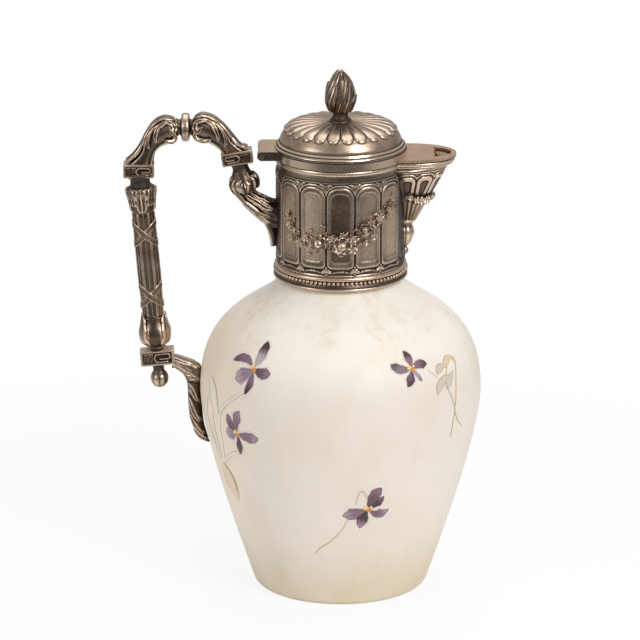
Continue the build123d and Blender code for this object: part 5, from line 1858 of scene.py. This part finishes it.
# Stems and leaves as lines of degrees and levels, with half widths and a shade; each spray is
# repeated on the far side.
cream_stem = (0.5, 0.8, 0.9, 0.95, 0.7)
gilt_stem = (0.14, 0.25, 0.28, 0.25, 0.14)
sprays = (
    (((-43.1, 108.2), (-48.4, 104.1), (-53.7, 99.5), (-57.8, 93.9)), cream_stem, 0.4),
    (((-48.0, 77.2), (-52.3, 75.0), (-57.4, 71.6), (-62.7, 67.4)), cream_stem, 0.4),
    (((-57.7, 94.8), (-60.2, 86.4), (-60.4, 77.5), (-62.5, 66.0)), (0.7, 1.3, 1.5, 1.3, 0.7), 0.5),
    (((3.5, 48.5), (0.7, 42.6), (-4.8, 36.5), (-10.7, 32.3), (-13.5, 29.2)), gilt_stem, 1.0),
    (((6.9, 56.4), (8.0, 61.3), (9.4, 63.4), (11.0, 62.1), (12.0, 59.2)), gilt_stem, 1.0),
    (((40.6, 118.7), (42.8, 116.8), (44.8, 114.3)), gilt_stem, 0.6),
    (((58.0, 116.5), (55.6, 109.0), (54.2, 101.3), (53.6, 96.4), (55.6, 91.2), (59.4, 87.1)), gilt_stem, 1.0),
    (((49.5, 108.7), (51.8, 103.0), (53.3, 97.3), (52.5, 91.1), (52.0, 83.8)), gilt_stem, 1.0),
    (((-68.5, 109.0), (-65.4, 104.0), (-62.6, 97.5), (-59.0, 90.1)), (0.1, 3.4, 4.4, 3.0, 0.5), 0.45),
    (((-69.2, 98.3), (-73.6, 88.6), (-70.8, 77.2), (-66.3, 67.5)), (0.4, 2.6, 3.2, 2.4, 0.4), 0.4),
    (((-64.4, 92.0), (-66.0, 84.0), (-65.4, 76.0), (-63.8, 69.5)), (0.3, 1.8, 2.2, 1.7, 0.4), 0.3),
    (((-64.0, 67.5), (-62.2, 61.9), (-60.4, 55.7), (-57.6, 49.0)), (0.6, 4.4, 5.8, 4.6, 0.6), 0.8),
    (((-62.9, 66.9), (-58.9, 62.6), (-56.9, 58.2), (-57.4, 53.6)), gilt_stem, 1.0),
    (((45.0, 115.6), (47.6, 118.0), (51.2, 118.8)), (0.3, 1.7, 2.0, 1.6, 0.3), 0.0),
    (((43.4, 106.4), (45.2, 110.2), (48.6, 112.6), (53.4, 113.6)), (0.3, 1.9, 2.1, 1.7, 0.3), 0.0),
    (((49.6, 107.6), (51.6, 111.4), (55.4, 114.8)), (0.3, 1.7, 2.0, 1.5, 0.3), 0.05),
    (((48.6, 108.0), (49.8, 112.0), (50.8, 115.4), (52.2, 117.6)), gilt_stem, 1.0),
    (((50.8, 117.4), (53.6, 120.2), (57.5, 121.3)), (0.4, 1.6, 1.9, 1.4, 0.3), 0.9),
    (((56.6, 121.1), (58.6, 119.1), (58.5, 116.1)), (0.3, 1.0, 1.1, 0.9, 0.2), 1.0),
)
leaf_strokes = []
for round_turn in (0.0, 180.0):
    for line, half_widths, shade in sprays:
        turned_line = [(azimuth + round_turn, level) for azimuth, level in line]
        stroke, _, across = painted(turned_line, half_widths, 0.18 if half_widths[2] > 1.0 else 0.34)
        leaf_strokes.append((stroke, shade, across))
enamel_piece("violet_sprays", leaf_strokes, leaf_enamel)
